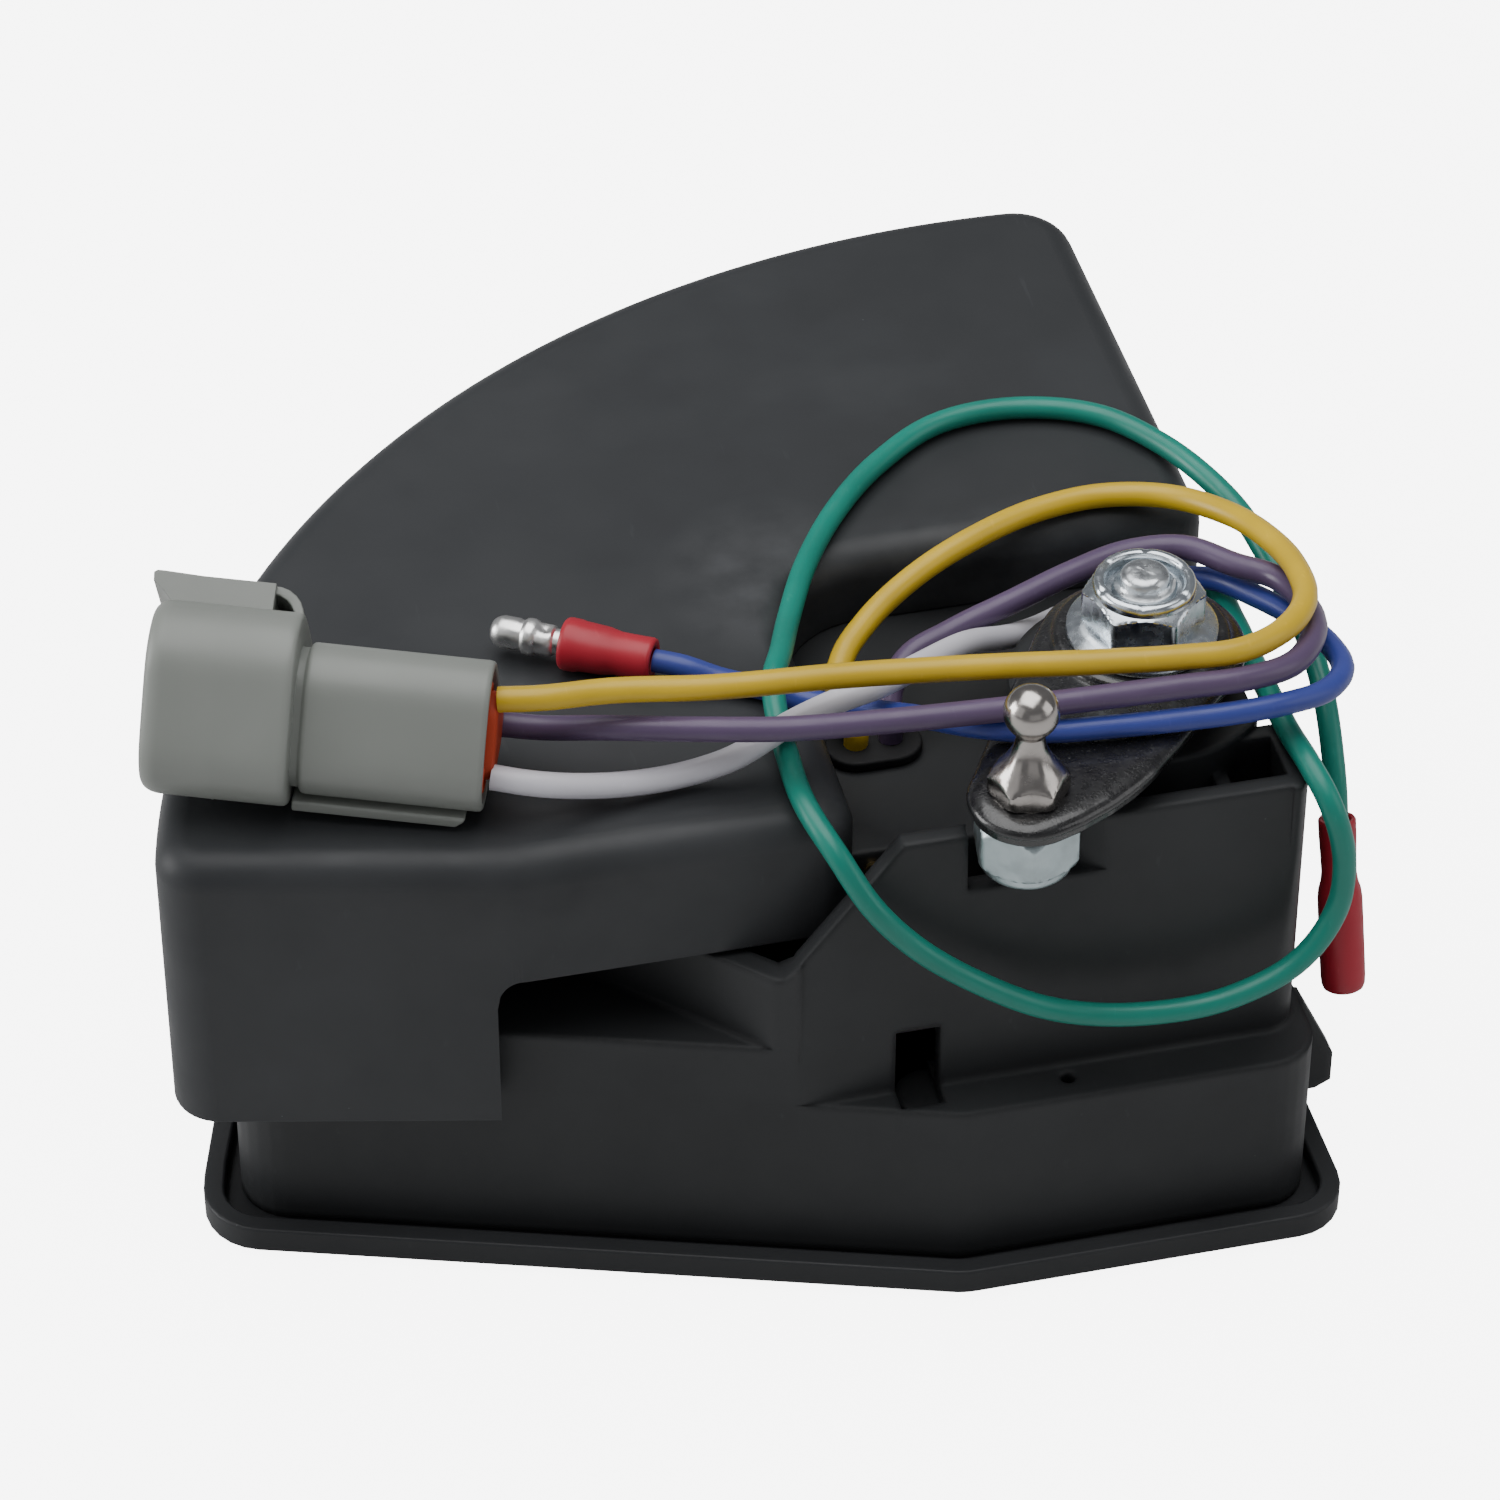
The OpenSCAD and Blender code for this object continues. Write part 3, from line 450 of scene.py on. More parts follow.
YELLOW = [(-29.12, -37.31, 80.95), (-25.1, -38.5, 81.3), (-16, -38.3, 80.6), (-3.9, -39.6, 79.9), (12, -40.8, 79.7),
    (28, -42.7, 79.5), (42.8, -45, 79.4), (51.7, -46, 79.2), (59.1, -46, 78.9), (65.8, -42.4, 78.2),
    (70.2, -36.4, 77), (71.8, -28.5, 75.4), (71.4, -19.4, 73.2), (68.7, -10, 70.8), (63.1, -2.8, 69),
    (55.6, 0.2, 68.2), (47.1, -0.7, 68.2), (38, -4.3, 68.2), (28.8, -8.8, 67), (21.2, -14.4, 65.4),
    (17.2, -18.9, 64.2), (15.5, -22.8, 62.9), (15.7, -25.6, 61.4), (16.8, -27.4, 59.4), (16.8, -27.4, 57.4)]
PURPLE = [(-27.98, -32.46, 73.03), (-24.2, -33.9, 73), (-17, -37.9, 74.8), (-6.5, -42.6, 76.4), (4, -45.6, 76.9),
    (14.5, -46.9, 77), (26, -47.9, 77.1), (41, -48.6, 77.1), (51, -48.9, 77.1), (59, -48.8, 76.8),
    (65.1, -46.8, 76.1), (69.7, -41.3, 74.8), (72.2, -30.2, 71.8), (70.7, -23.7, 70.8), (66.9, -19.9, 70.4),
    (61.6, -14.4, 70), (54.8, -13.3, 69.6), (47.6, -15.1, 69.2), (38.9, -17.9, 68.2), (30.5, -20, 66.6),
    (24.4, -21.9, 64.8), (21.8, -24.8, 62.6), (21.2, -27.2, 59.8), (21.2, -27.4, 57.4)]
WHITE = [(-30.97, -41.32, 72.7), (-27.07, -42.85, 72.33), (-20.6, -42.9, 70.6), (-14, -42.2, 69.2),
    (-8.4, -41.6, 68.8), (-2, -41.6, 70.2), (5.4, -39.8, 72.7), (12, -37.5, 73.2), (17.4, -35.8, 73.1), (23, -32, 72),
    (31, -25.9, 69.4), (38, -20.6, 65), (43, -16.2, 62.1), (46.6, -12.8, 60.3), (49.3, -10.6, 59.1), (50, -10, 57.4)]
BLUE = [(-6.92, -21.06, 69.85), (-4, -22.7, 69.8), (0.4, -24.5, 68.4), (5, -27, 68.05), (10.3, -30.8, 68.05),
    (15, -33.6, 68.3), (18, -36.2, 69.2), (21.8, -41, 71.5), (27, -46.6, 73.6), (34, -49.3, 73.8), (42, -50.3, 73.8),
    (52, -51, 73.8), (58, -51.2, 73.8), (64, -50.5, 73.5), (69.6, -48, 72.4), (73.3, -43, 71), (73.8, -36.5, 69.6),
    (71.9, -28.4, 68), (69, -22.2, 66.9), (65, -16.4, 65.9), (59.6, -13, 64.2), (55, -10.9, 62), (53.6, -10, 59.6),
    (53.6, -10, 57.4)]
GREEN = [(57.2, -10, 57.4), (57.3, -10, 59.2), (59.4, -9.6, 61.2), (63.2, -10.6, 62), (66.2, -14.6, 62.4),
    (66.6, -21.5, 62.9), (66, -31, 64.2), (65.1, -40, 66.6), (65.2, -48, 66.8), (65.7, -54.6, 67), (66.8, -59, 65),
    (68.2, -61, 60), (68.8, -61.2, 54.6), (68.2, -61.2, 49), (63.9, -62.3, 43), (55.4, -63.2, 39.4),
    (44.1, -63.2, 38.8), (33.1, -62.6, 41.2), (23.3, -61.8, 47), (15.1, -60.9, 54.2), (10.4, -60, 60.4),
    (7.2, -56.6, 65.8), (5, -50.3, 68.4), (4.9, -41.1, 68.8), (5, -34.7, 70.6), (5.7, -30.2, 71.5), (8, -24.5, 71.1),
    (11.2, -15.5, 69), (16.2, -4.2, 68.1), (21.9, 4.7, 68.1), (29.9, 13.5, 68.1), (39.7, 19.9, 68.1),
    (51.5, 20.3, 68.1), (60.1, 16.4, 68.1), (65.3, 10, 68.1), (69.2, 2.4, 67.8), (72, -4.5, 66.6), (73.4, -12, 65.2),
    (74.3, -20.4, 63.6), (74.8, -28.2, 61.4), (74.6, -34.1, 59), (74.2, -39.4, 54.8), (74, -42.3, 50.9),
    (74, -43.4, 47.6)]
lead("yellow_lead_cover", YELLOW[::-1], 1.55, "yellow_pvc")
lead("purple_lead_cover", PURPLE[::-1], 1.55, "purple_pvc")
lead("white_lead_cover", WHITE[::-1], 1.55, "white_pvc")
lead("blue_lead_cover", BLUE[::-1], 1.45, "blue_pvc")
lead("green_lead_cover", GREEN, 1.45, "green_pvc")

# ---------------------------------------------------------------- hood
HZ, HR = 66.5, 4.1


def make_hood():
    base = hood_o(0)
    N = len(base)
    cols = []  # (edge index, t, z bottom)

    def zb(x, y, side=0):
        if y < -40 and x < 11.6:
            if x < -32.8:
                return 25.5
            if x < -29.8:
                q = (x + 32.8) / 3.0
                return 43.6 + 4.4 * math.sqrt(max(0, 1 - (1 - q) ** 2))
            return 48.0 if y < -46 else 56.0
        if y < -2.2 and 11 < x < 66.35:
            return 56.0
        if x > 59.9 and y > -10:
            return 27.4
        return 25.5

    for i in range(N):
        x, y = base[i]
        x2, y2 = base[(i + 1) % N]
        cols.append((i, 0.0, zb(x, y)))
        extra = []
        for k in range(0, 9):  # rounding of the cut-out
            xx = -32.8 + 3.0 * k / 8
            if (x - xx) * (x2 - xx) < 0 and y < -40:
                t = (xx - x) / (x2 - x)
                if k == 0:
                    extra += [(t - 1e-5, 25.5), (t + 1e-5, 43.6)]
                else:
                    extra.append((t, zb(xx + 1e-6, -50)))
        if (y + 46) * (y2 + 46) < 0 and 8 < x < 12:
            t = (-46 - y) / (y2 - y)
            extra += [(t - 1e-5, 48.0 if y < -46 else 56.0), (t + 1e-5, 56.0 if y < -46 else 48.0)]
        if (x - 66.35) * (x2 - 66.35) < 0 and -4 < y < -2:
            t = (66.35 - x) / (x2 - x)
            extra += [(t - 1e-5, 56.0), (t + 1e-5, 27.4)]
        if (y + 10) * (y2 + 10) < 0 and x > 60:
            pass
        for t, z in sorted(extra):
            cols.append((i, t, z))
    # the columns are copied as they are
    full = []
    for c, nx in zip(cols, cols[1:] + [(N, 0.0, cols[0][2])]):
        full.append(c)

    def ring(d, zf):
        o = hood_o(d)
        out = []
        for i, t, z in full:
            a, b = o[i], o[(i + 1) % N]
            out.append((a[0] + (b[0] - a[0]) * t, a[1] + (b[1] - a[1]) * t, zf(z)))
        return out

    bm = bmesh.new()
    rings = []
    K = 8
    for k in range(K + 1):  # top edge
        a = math.pi / 2 * k / K
        rings.append(ring(HR * (1 - sin(a)), lambda z, a=a: HZ - HR * (1 - cos(a))))
    top = rings[0]
    for t in (0.25, 0.5, 0.75):
        rings.append(ring(0.0, lambda z, t=t: (HZ - HR) + (z + 0.5 - HZ + HR) * t))
    rings.append(ring(0.0, lambda z: z + 0.5))
    rings.append(ring(0.12, lambda z: z + 0.16))
    rings.append(ring(0.5, lambda z: z))
    rings.append(ring(1.75, lambda z: z))
    rings.append(ring(2.1, lambda z: z + 0.16))
    rings.append(ring(2.2, lambda z: z + 0.5))
    rings.append(ring(2.2, lambda z: HZ - 4.4))
    for k in range(1, 4):
        a = math.pi / 2 * k / 3
        rings.append(ring(2.2 + 2.0 * (1 - cos(a)), lambda z, a=a: HZ - 4.4 + 2.2 * sin(a)))
    add_loft(bm, rings, cap0=False, cap1=False)
    add_cap(bm, top)
    add_cap(bm, rings[-1])
    return finish_mesh(bm, "hood_shell", "hood_plastic", ROOT, 30, ("hood",))


make_hood()


# ---------------------------------------------------------------- plug
PLUG = (Matrix.Translation(Vector((-69.5, -23.6, 78.0)) * MM)
        @ Matrix.Rotation(rad(-18.5), 4, "Z") @ Matrix.Rotation(rad(3.3), 4, "Y"))


def tri(rho, c, dz=0.0, n=12, m=5):
    """Rounded triangle in the plug's cross plane, with a slight crown on its flats."""
    v = 2 * rho
    P = [(v * cos(rad(a)), v * sin(rad(a)), c) for a in (332, 92, 212)]
    o = rp(P, n)
    out = []
    for i in range(len(o)):
        a, b = o[i], o[(i + 1) % len(o)]
        out.append(a)
        if math.dist(a, b) > 1.8:
            for k in range(1, m):
                t = k / m
                q = (a[0] + (b[0] - a[0]) * t, a[1] + (b[1] - a[1]) * t)
                l = math.hypot(*q)
                s = 1 + 0.010 * 4 * t * (1 - t)
                out.append((q[0] * s, q[1] * s))
    return [(y, z + dz) for y, z in out]


def tri_rings(prof):
    return [[(x, y, z) for y, z in tri(rho, c, dz)] for x, rho, c, dz in prof]


def prism_yz(bm, poly, y0, y1, mtx):
    """A flat outline in the x, z plane carried from y0 to y1."""
    add_loft(bm, [[(x, y0, z) for x, z in poly], [(x, y1, z) for x, z in poly]], cap0=False, cap1=False, mtx=mtx)
    from mathutils.geometry import tessellate_polygon
    for y, flip in ((y0, False), (y1, True)):
        vs = [bm.verts.new(mtx @ (Vector((x, y, z)) * MM)) for x, z in poly]
        for t in tessellate_polygon([[Vector((x, z, 0)) for x, z in poly]]):
            try:
                bm.faces.new([vs[i] for i in (reversed(t) if flip else t)])
            except ValueError:
                pass


def round_edges(ob, width, seg=3, angle=35):
    b = ob.modifiers.new("bevel", "BEVEL")
    b.width = width * MM
    b.segments = seg
    b.limit_method = "ANGLE"
    b.angle_limit = rad(angle)
    b.use_clamp_overlap = True
    w = ob.modifiers.new("weighted", "WEIGHTED_NORMAL")
    w.keep_sharp = False
    return ob


def make_plug():
    bm = bmesh.new()
    D = 1.1
    prof = [(17.0, 7.8, 5.7, D), (8.0, 7.8, 5.7, D), (2.0, 7.9, 5.8, D), (1.55, 8.1, 6.0, D), (1.42, 8.35, 6.1, D)]
    for k in range(1, 8):   # rounded front edge
        a = math.pi / 2 * k / 7
        prof.append((1.42 + 2.3 * (1 - cos(a)), 8.35 + 1.35 * sin(a), 6.1 + 1.1 * sin(a), D))
    prof += [(6, 9.7, 7.2, D), (9.7, 9.7, 7.2, D), (9.95, 9.745, 7.23, D), (10.2, 9.7, 7.2, D), (14, 9.7, 7.2, D),
             (17.8, 9.7, 7.2, D), (18.4, 9.66, 7.17, D), (18.75, 9.52, 7.1, D), (18.9, 9.25, 6.9, D), (18.93, 8.9, 6.7, D),
             (18.93, 8.3, 6.2, 0.9), (18.9, 7.4, 5.4, 0.4), (18.95, 6.95, 5.0, 0.05), (19.1, 6.9, 4.95, 0), (19.75, 6.9, 4.95, 0),
             (19.9, 7.0, 5.05, 0), (20.05, 7.25, 5.2, 0), (20.3, 7.44, 5.35, 0), (20.7, 7.5, 5.4, 0), (28, 7.5, 5.4, 0),
             (36, 7.5, 5.4, 0), (41.0, 7.5, 5.4, 0), (41.45, 7.44, 5.36, 0),
             (41.68, 7.25, 5.25, 0), (41.72, 7.0, 5.1, 0), (41.6, 6.75, 4.95, 0), (41.2, 6.62, 4.85, 0), (38.0, 6.6, 4.8, 0)]
    add_loft(bm, tri_rings(prof), mtx=PLUG)
    ob = finish_mesh(bm, "plug_body", "plug_plastic", ROOT, 40, ("plug_shell",))

    # latch along the upper back flat: a lever with a raised tip and a hook
    L = PLUG @ Matrix.Rotation(rad(-58), 4, "X")
    bm = bmesh.new()
    prism_yz(bm, [(0.1, 14.0), (0.5, 14.3), (1.6, 14.3), (6, 14.1), (14.7, 14.1), (14.7, 9.3), (3.4, 9.3), (2.6, 10.6),
                  (1.4, 12.0), (0.2, 12.9)], -5, 5, L)
    ob2 = finish_mesh(bm, "plug_latch", "plug_plastic", ROOT, 40, weighted=False)
    round_edges(ob2, 0.5)
    bm = bmesh.new()
    prism_yz(bm, [(14.3, 14.05), (15.4, 13.98), (16.3, 13.68), (17.1, 13.15), (17.75, 12.4), (18.2, 11.4), (18.42, 10.4),
                  (18.45, 9.5), (17.35, 9.5), (17.3, 10.4), (17.05, 11.2), (16.55, 11.95), (15.9, 12.5), (15.2, 12.85),
                  (14.3, 13.0)], -4.2, 4.2, L)
    ob3 = finish_mesh(bm, "plug_latch_hook", "plug_plastic", ROOT, 40, weighted=False)
    round_edges(ob3, 0.22)

    # rail along the bottom
    B = PLUG @ Matrix.Rotation(rad(182), 4, "X")
    bm = bmesh.new()
    prism_yz(bm, [(19.2, 6.6), (39.9, 6.6), (39.6, 7.3), (38.7, 8.15), (19.2, 8.15)], -4, 8.3, B)
    ob4 = finish_mesh(bm, "plug_rail", "plug_plastic", ROOT, 40, weighted=False)
    round_edges(ob4, 0.3)
    return ob


def make_seal():
    bm = bmesh.new()
    prof = [(38.2, 6.55, 4.77, 0), (40.6, 6.55, 4.77, 0), (40.9, 6.35, 4.65, 0), (40.95, 5.9, 4.3, 0), (40.9, 4.7, 3.4, 0),
            (41.0, 4.5, 3.25, 0), (42.0, 4.4, 3.2, 0), (42.4, 4.25, 3.1, 0), (42.6, 3.9, 2.8, 0), (42.65, 3.4, 2.5, 0)]
    add_loft(bm, tri_rings(prof), mtx=PLUG)
    for a in (92, 212, 332):   # lips round the leads
        c = (5.4 * cos(rad(a)), 5.4 * sin(rad(a)))
        rings = []
        for x, r in ((40.6, 2.1), (41.2, 2.1), (41.5, 2.03), (41.65, 1.85), (41.65, 1.7), (41.5, 1.58), (40.7, 1.56)):
            rings.append([(x, c[0] + r * cos(t * 2 * math.pi / 24), c[1] + r * sin(t * 2 * math.pi / 24)) for t in range(24)])
        add_loft(bm, rings, mtx=PLUG)
    return finish_mesh(bm, "plug_seal_block", "orange_rubber", ROOT, 30, ("plug_rear_seal",))


make_plug()
make_seal()


# ---------------------------------------------------------------- nuts and studs
def hexr(a, af, a0, rc=99.0):
    d = (a - rad(a0) + math.pi / 6) % (math.pi / 3) - math.pi / 6
    return min(af / 2 / cos(d), rc)


PX, PY, EX, EY = 50.9, -33.0, 30.1, -57.2


def make_pivot_nut():
    bm = bmesh.new()

    def prof(a):
        h = hexr(a, 13.2, 15, 7.5)
        p = [(4.02, 73.2), (8.9, 73.2), (9.15, 73.28), (9.28, 73.5), (9.3, 73.9), (9.2, 74.2), (8.95, 74.38), (8.5, 74.6),
             (8.0, 74.85), (7.66, 75.02)]
        p += [(h, 75.1)] + [(h, z) for z in (76, 77, 78, 78.7)]
        for z in (78.95, 79.15, 79.35, 79.55, 79.75, 79.9):
            p.append((min(h, 6.45 + (79.9 - z) * 1.35), z))
        # locking ring with six small punch marks
        dent = sum(math.exp(-((((a - rad(12 + 60 * k) + math.pi) % (2 * math.pi)) - math.pi) / 0.075) ** 2) for k in range(6))
        p += [(6.3, 80.0), (6.28, 80.5), (6.2 - 0.06 * dent, 80.9), (6.0 - 0.14 * dent, 81.2 - 0.06 * dent),
              (5.68 - 0.05 * dent, 81.38 - 0.18 * dent), (5.3, 81.4 - 0.14 * dent), (5.0, 81.28 - 0.04 * dent), (4.8, 81.0),
              (4.72, 80.5), (4.7, 79.6), (4.02, 79.5)]
        return p
    revolve(bm, prof, 144, (PX, PY))
    return finish_mesh(bm, "pivot_nut_forged", "zinc_steel", ARM, 33, ("pivot_nut",))


def make_shaft():
    bm = bmesh.new()
    p0 = [(0.01, 14.0), (3.4, 14.0), (3.8, 14.2), (4.0, 14.6), (4.0, 26.75), (3.95, 26.8), (3.95, 27.8), (4.0, 27.85), (4.0, 39.75),
          (4.6, 39.8), (5.0, 40.2), (5.0, 68.4), (4.8, 68.8), (4.0, 68.8), (4.0, 72.6)]

    def prof(a):
        p = list(p0)
        z = 72.8
        ph = a / (2 * math.pi)
        while z < 79.9:     # thread, pitch 1.25
            for k, r in ((0.0, 3.62), (0.35, 3.98), (0.55, 3.98), (0.9, 3.62)):
                p.append((r, z + (k + ph) * 1.25 - 0.6))
            z += 1.25
        rough = 0.14 * noise.noise(Vector((cos(a) * 1.7, sin(a) * 1.7, 3.1)))
        p += [(3.75, max(p[-1][1] + 0.02, 80.5)), (3.4, 80.75), (3.1, 81.2), (3.0, 81.7), (2.8, 82.1 + rough * 0.4), (2.4, 82.38 + rough),
              (1.8, 82.5 + rough), (1.0, 82.5 - rough), (0.01, 82.46)]
        return p
    revolve(bm, prof, 72, (PX, PY))
    return finish_mesh(bm, "pivot_shaft_turned", "shaft_steel", ARM, 50, ("pivot_shaft",))


def make_ball_stud():
    bm = bmesh.new()
    cove = [(73.9, 5.1), (74.2, 4.94), (74.6, 4.6), (75.1, 4.2), (75.6, 3.8), (76.1, 3.4), (76.7, 3.0), (77.3, 2.65), (78.0, 2.3),
            (78.8, 2.0), (79.4, 1.86), (80.0, 1.77), (80.5, 1.74), (80.85, 1.78)]

    def prof(a):
        h = hexr(a, 8.7, 19, 4.94)
        p = [(0.01, 60.05), (2.4, 60.05), (2.75, 60.4)]
        z = 60.9
        ph = a / (2 * math.pi)
        while z < 71:
            for k, r in ((0.0, 2.7), (0.35, 2.98), (0.55, 2.98), (0.9, 2.7)):
                p.append((r, z + (k + ph) - 0.5))
            z += 1.0
        p += [(2.98, 71.9), (min(h, 4.3), 72.02), (min(h, 4.75), 72.22), (h, 72.45)]
        p += [(min(h, r), z) for z, r in cove]
        for k in range(1, 25):
            t = -0.98 + (math.pi / 2 + 0.98) * k / 24
            p.append((max(0.01, 3.35 * cos(t)), 83.9 + 3.35 * sin(t)))
        return p
    revolve(bm, prof, 120, (EX, EY))
    return finish_mesh(bm, "ball_stud_turned", "nickel_steel", ARM, 33, ("ball_stud",))


def make_stud_nut():
    bm = bmesh.new()

    def prof(a):
        h = hexr(a, 11.8, 52, 6.72)
        return [(3.0, 68.75), (5.5, 68.78), (min(h, 5.85), 68.7), (min(h, 6.15), 68.45), (min(h, 6.45), 68.15), (min(h, 6.8), 67.75),
                (h, 67.3), (h, 65.5), (h, 63.6), (min(h, 6.5), 63.05), (min(h, 6.2), 62.75), (5.86, 62.5), (5.72, 62.42), (5.7, 62.2),
                (5.72, 61.9), (5.62, 61.45), (5.3, 61.05), (4.85, 60.86), (4.3, 60.82), (3.7, 60.95), (3.3, 61.3), (3.0, 61.6)]
    revolve(bm, prof, 120, (EX, EY))
    return finish_mesh(bm, "ball_stud_nut_forged", "zinc_pale", ARM, 33, ("ball_stud_nut",))


make_pivot_nut()
make_shaft()
make_ball_stud()
make_stud_nut()


# ---------------------------------------------------------------- arm
def hull2(pts):
    pts = sorted(set((round(x, 5), round(y, 5)) for x, y in pts))

    def half(ps):
        h = []
        for p in ps:
            while len(h) > 1 and (h[-1][0] - h[-2][0]) * (p[1] - h[-2][1]) - (h[-1][1] - h[-2][1]) * (p[0] - h[-2][0]) <= 0:
                h.pop()
            h.append(p)
        return h
    a, b = half(pts), half(pts[::-1])
    return a[:-1] + b[:-1]


def resample(poly, n):
    L = [0.0]
    for i in range(len(poly)):
        L.append(L[-1] + math.dist(poly[i], poly[(i + 1) % len(poly)]))
    out, j = [], 0
    for k in range(n):
        s = L[-1] * k / n
        while L[j + 1] < s:
            j += 1
        t = (s - L[j]) / (L[j + 1] - L[j])
        a, b = poly[j], poly[(j + 1) % len(poly)]
        out.append((a[0] + (b[0] - a[0]) * t, a[1] + (b[1] - a[1]) * t))
    return out


def make_arm():
    pts = [(PX + 12.8 * cos(rad(a)), PY + 12.8 * sin(rad(a))) for a in range(0, 360, 4)]
    pts += [(EX + 7.3 * cos(rad(a)), EY + 7.3 * sin(rad(a))) for a in range(0, 360, 6)]
    pts += [(31, -64.2), (35.5, -63), (39.6, -61), (43, -58.8), (46.2, -56.2), (50, -52.4), (54.6, -47.4), (59.4, -42.6)]
    base = resample(hull2(pts), 220)
    for _ in range(2):
        base = [((base[i - 1][0] + 2 * p[0] + base[(i + 1) % 220][0]) / 4, (base[i - 1][1] + 2 * p[1] + base[(i + 1) % 220][1]) / 4)
                for i, p in enumerate(base)]
    nrm = []
    for i in range(220):
        a, b = base[i - 1], base[(i + 1) % 220]
        t = unit((b[0] - a[0], b[1] - a[1]))
        nrm.append((-t[1], t[0]))

    def ring(d, z):
        out = []
        for (x, y), n in zip(base, nrm):
            w = 0.07 * noise.noise(Vector((x * 0.35, y * 0.35, z * 0.4)))
            out.append((x + n[0] * (d + w), y + n[1] * (d + w), z))
        return out
    prof = [(1.0, 68.8), (0.62, 68.9), (0.5, 69.15), (0.5, 69.85), (0.38, 70.1), (0.12, 70.25), (0.0, 70.5), (0.0, 70.8), (0.14, 71.1),
            (0.45, 71.4), (0.95, 71.68), (1.6, 71.88), (2.4, 71.98), (3.2, 72.0)]
    bm = bmesh.new()
    rings = [ring(d, z) for d, z in prof]
    add_loft(bm, rings, cap0=True, cap1=True)
    revolve(bm, [(4.05, 71.7), (11.9, 71.7), (11.4, 71.95), (11.0, 72.25), (10.85, 72.6), (10.7, 72.95), (10.3, 73.15), (9.8, 73.2), (4.05, 73.2)], 72, (PX, PY))
    return finish_mesh(bm, "arm_cast", "arm_casting", ARM, 60, ("throttle_arm",))


make_arm()


# ---------------------------------------------------------------- bullet terminals
MALE = Matrix.Translation(Vector((-24.9, -10.6, 69.85)) * MM) @ Matrix.Rotation(rad(-30.2), 4, "Z") @ Matrix.Rotation(rad(90), 4, "Y")
FEM = Matrix.Translation(Vector((74, -43.4, 47.6)) * MM) @ Matrix.Rotation(rad(-18.5), 4, "X") @ Matrix.Rotation(rad(180), 4, "X")


def make_bullets():
    bm = bmesh.new()

    def pin(a):
        # local x points down after the turn, so the top of the pin is at 180 degrees
        top = math.exp(-((((a - math.pi) + math.pi) % (2 * math.pi) - math.pi) / 0.5) ** 2)
        p = [(0.01, 0.0), (0.8, 0.02), (1.25, 0.2), (1.62, 0.55), (1.86, 1.0), (2.0, 1.5), (2.0, 3.4), (1.88, 3.75), (1.88, 4.1),
             (2.2, 4.4), (2.28, 4.8), (2.28, 5.3), (2.15, 5.75), (1.96, 5.95)]
        p += [(1.98 - 0.45 * top, 6.5), (1.98 - 0.6 * top, 7.0), (1.98 - 0.3 * top, 7.5), (1.9, 7.9), (1.62, 8.2), (1.6, 9.6)]
        return p
    revolve(bm, pin, 72, mtx=MALE)
    finish_mesh(bm, "male_bullet_turned", "tinned_brass", ROOT, 40, ("male_bullet_pin",))

    bm = bmesh.new()

    def sl(a):
        w = 0.05 * sin(3 * a + 1) + 0.04 * sin(2 * a)
        return [(1.7, 9.9), (1.75, 9.4), (2.5, 9.22), (3.0, 9.25), (3.22, 9.5), (3.3, 9.95), (3.28, 11.0), (3.16 + w, 11.7), (3.08 + w, 13.4),
                (3.02 + w, 14.6), (2.85 + w, 15.5), (2.72 + w, 16.2), (2.7, 17.2), (2.72, 19.4), (2.74, 20.3), (2.62, 20.65), (2.3, 20.78),
                (1.85, 20.7), (1.6, 20.4), (1.55, 19.4)]
    revolve(bm, sl, 56, mtx=MALE)
    finish_mesh(bm, "male_bullet_cover", "red_vinyl", ROOT, 50, ("male_bullet_sleeve",))

    bm = bmesh.new()

    def fs(a):
        w = 0.05 * sin(2 * a + 0.6)
        return [(1.55, 1.2), (1.6, 0.35), (1.9, 0.06), (2.2, 0.05), (2.36, 0.3), (2.36, 0.9), (2.3 + w, 2.4), (2.2 + w, 5.0), (2.15 + w, 7.2),
                (2.3 + w, 8.4), (2.62 + w, 9.5), (2.8, 10.6), (2.82, 13), (2.82, 19), (2.8, 21.2), (2.72, 22.2), (2.5, 22.8), (2.1, 23.08),
                (1.75, 22.9), (1.62, 22.4), (1.6, 20.0)]
    revolve(bm, fs, 56, mtx=FEM)
    finish_mesh(bm, "female_bullet_cover", "red_vinyl", ROOT, 50, ("female_bullet_sleeve",))


make_bullets()


# ---------------------------------------------------------------- carried-over nodes
def smooth_cad(node, width, seg=3, angle=28, clamp=True):
    ob = frame["nodes"][node]
    w = ob.modifiers.new("weld", "WELD")
    w.merge_threshold = 1e-6
    d = ob.modifiers.new("planar", "DECIMATE")
    d.decimate_type = "DISSOLVE"
    d.angle_limit = rad(1.2)
    b = ob.modifiers.new("bevel", "BEVEL")
    b.width = width * MM
    b.segments = seg
    b.limit_method = "ANGLE"
    b.angle_limit = rad(angle)
    b.use_clamp_overlap = clamp
    b.harden_normals = False
    b.miter_outer = "MITER_ARC"
    w2 = ob.modifiers.new("weighted", "WEIGHTED_NORMAL")
    w2.keep_sharp = False
    return ob


def paint(node, mat):
    ob = frame["nodes"][node]
    if not ob.material_slots:
        ob.data.materials.append(M[mat])
    for s in ob.material_slots:
        s.material = M[mat]


for node in frame["nodes"]:
    paint(node, SLOT[node])
smooth_cad("base_tray", 0.4, clamp=False)
smooth_cad("lead_grommet_left", 0.4)
smooth_cad("lead_grommet_right", 0.4)
smooth_cad("limit_switch", 0.3)

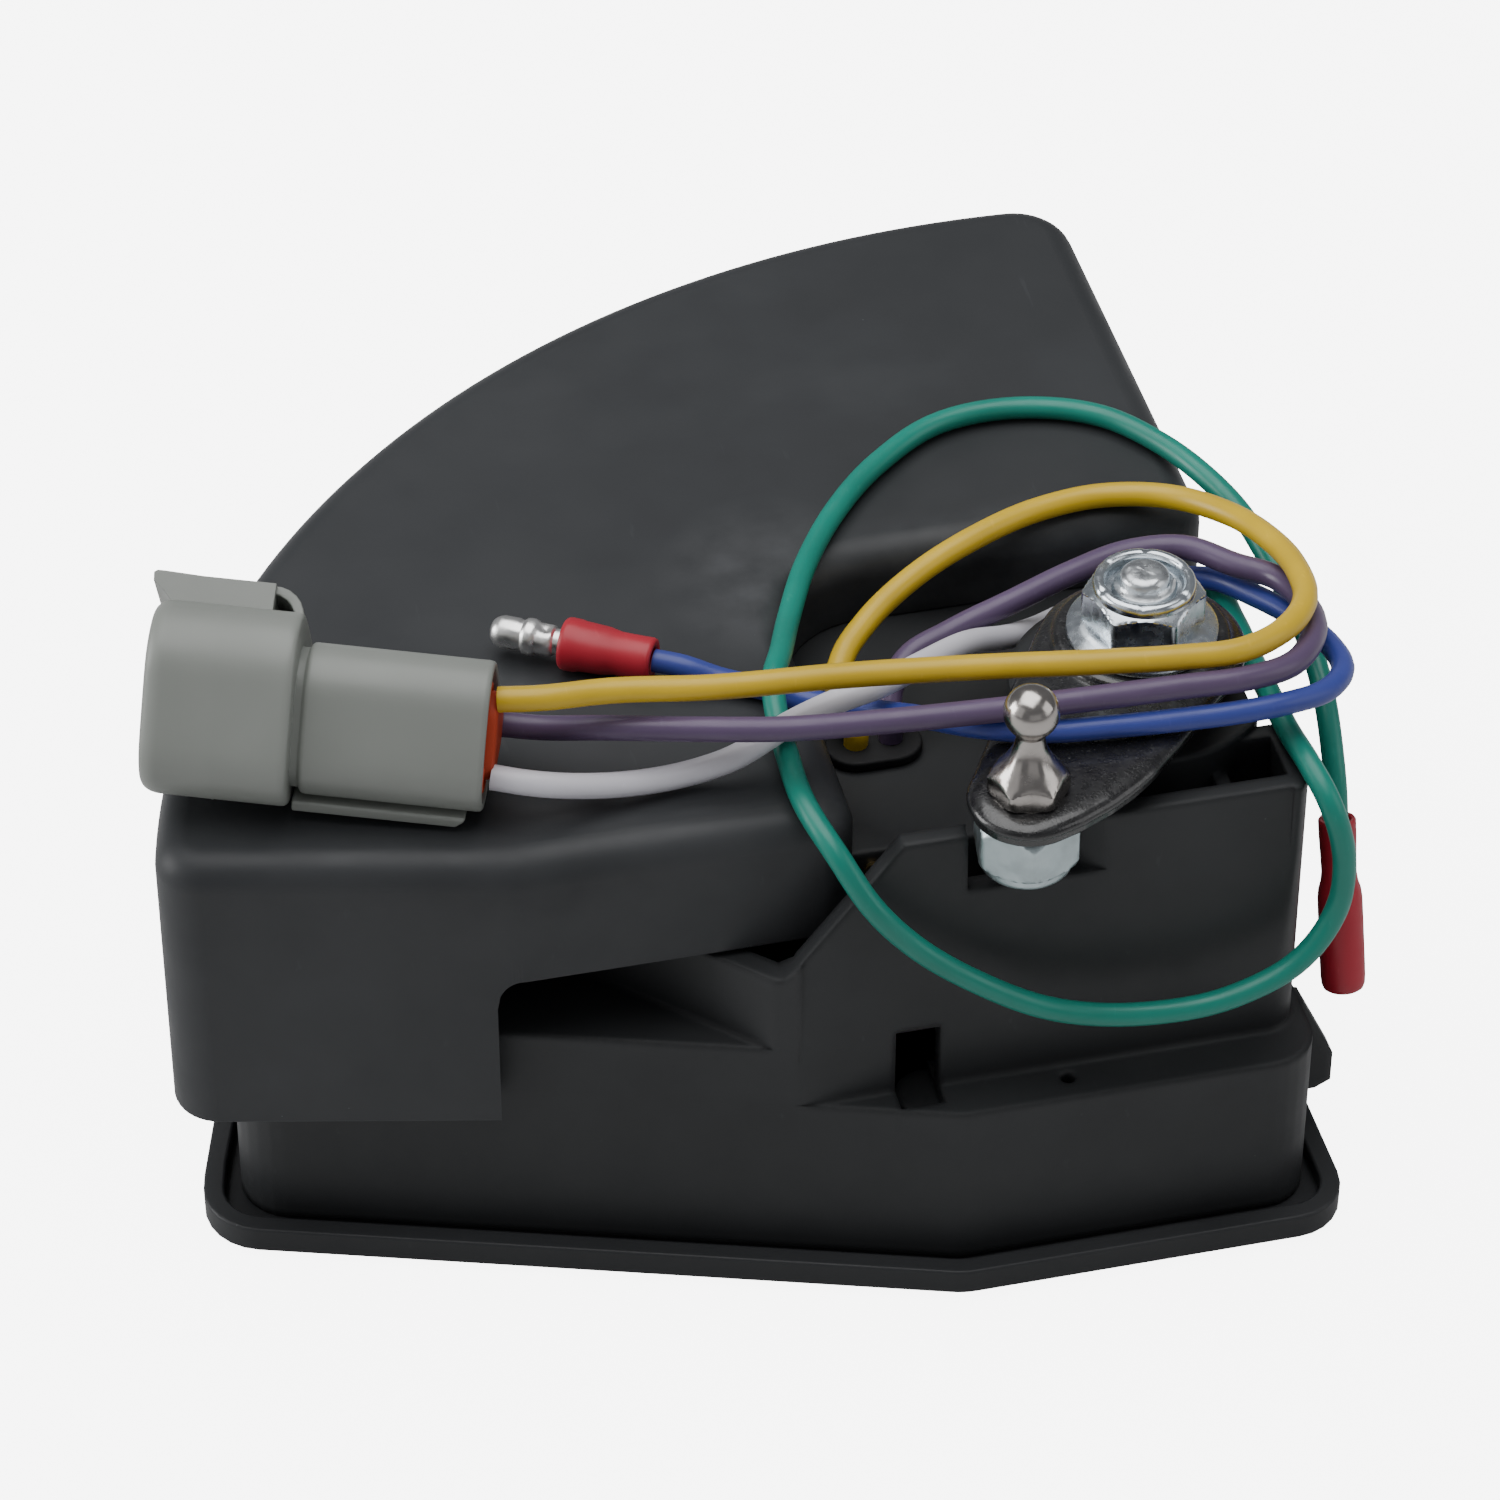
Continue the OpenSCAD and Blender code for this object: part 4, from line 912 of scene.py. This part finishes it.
# ---------------------------------------------------------------- stage
def area(name, loc, target, size, power, color=(1, 1, 1), sy=None):
    l = bpy.data.lights.new(name, "AREA")
    l.shape = "RECTANGLE"
    l.size, l.size_y = size, sy or size
    l.energy = power
    l.color = color
    o = bpy.data.objects.new(name, l)
    bpy.context.scene.collection.objects.link(o)
    o.location = loc
    o.rotation_euler = (Vector(target) - Vector(loc)).to_track_quat("-Z", "Y").to_euler()
    return o


area("top", (-0.1, 0.1, 1.2), (0, 0, 0.03), 1.3, 18)
area("left", (-1.0, -0.35, 0.55), (0, 0, 0.04), 0.8, 0.8)
area("left_back", (-1.25, 0.3, 0.4), (0, 0, 0.05), 0.7, 11)
area("right", (0.95, -0.45, 0.5), (0, 0, 0.04), 0.7, 2.1)
area("front", (0.05, -1.1, 0.35), (0, 0, 0.04), 0.9, 0.25, sy=0.4)
world = bpy.data.worlds.new("world")
bpy.context.scene.world = world
world.use_nodes = True
world.node_tree.nodes["Background"].inputs["Color"].default_value = (0.95, 0.96, 1.0, 1)
world.node_tree.nodes["Background"].inputs["Strength"].default_value = 0.2

bm = bmesh.new()
bmesh.ops.create_grid(bm, x_segments=2, y_segments=2, size=3.0)
me = bpy.data.meshes.new("floor")
bm.to_mesh(me)
bm.free()
floor = bpy.data.objects.new("floor", me)
bpy.context.scene.collection.objects.link(floor)
fm = bpy.data.materials.new("floor")
fm.use_nodes = True
fb = fm.node_tree.nodes["Principled BSDF"]
fb.inputs["Base Color"].default_value = (0.62, 0.62, 0.62, 1)
fb.inputs["Roughness"].default_value = 0.8
sock(fb, "Emission Color", "Emission").default_value = (1, 1, 1, 1)
lp = fm.node_tree.nodes.new("ShaderNodeLightPath")      # brighter to the eye than to the part
mu = fm.node_tree.nodes.new("ShaderNodeMath")
mu.operation = "MULTIPLY"
mu.inputs[1].default_value = 6.5
fm.node_tree.links.new(lp.outputs["Is Camera Ray"], mu.inputs[0])
fm.node_tree.links.new(mu.outputs[0], fb.inputs["Emission Strength"])
ge = fm.node_tree.nodes.new("ShaderNodeNewGeometry")     # seen from above only
tr = fm.node_tree.nodes.new("ShaderNodeBsdfTransparent")
mx = fm.node_tree.nodes.new("ShaderNodeMixShader")
fm.node_tree.links.new(ge.outputs["Backfacing"], mx.inputs[0])
fm.node_tree.links.new(fb.outputs["BSDF"], mx.inputs[1])
fm.node_tree.links.new(tr.outputs["BSDF"], mx.inputs[2])
fm.node_tree.links.new(mx.outputs[0], fm.node_tree.nodes["Material Output"].inputs["Surface"])
floor.location.z = -0.0002
me.materials.append(fm)
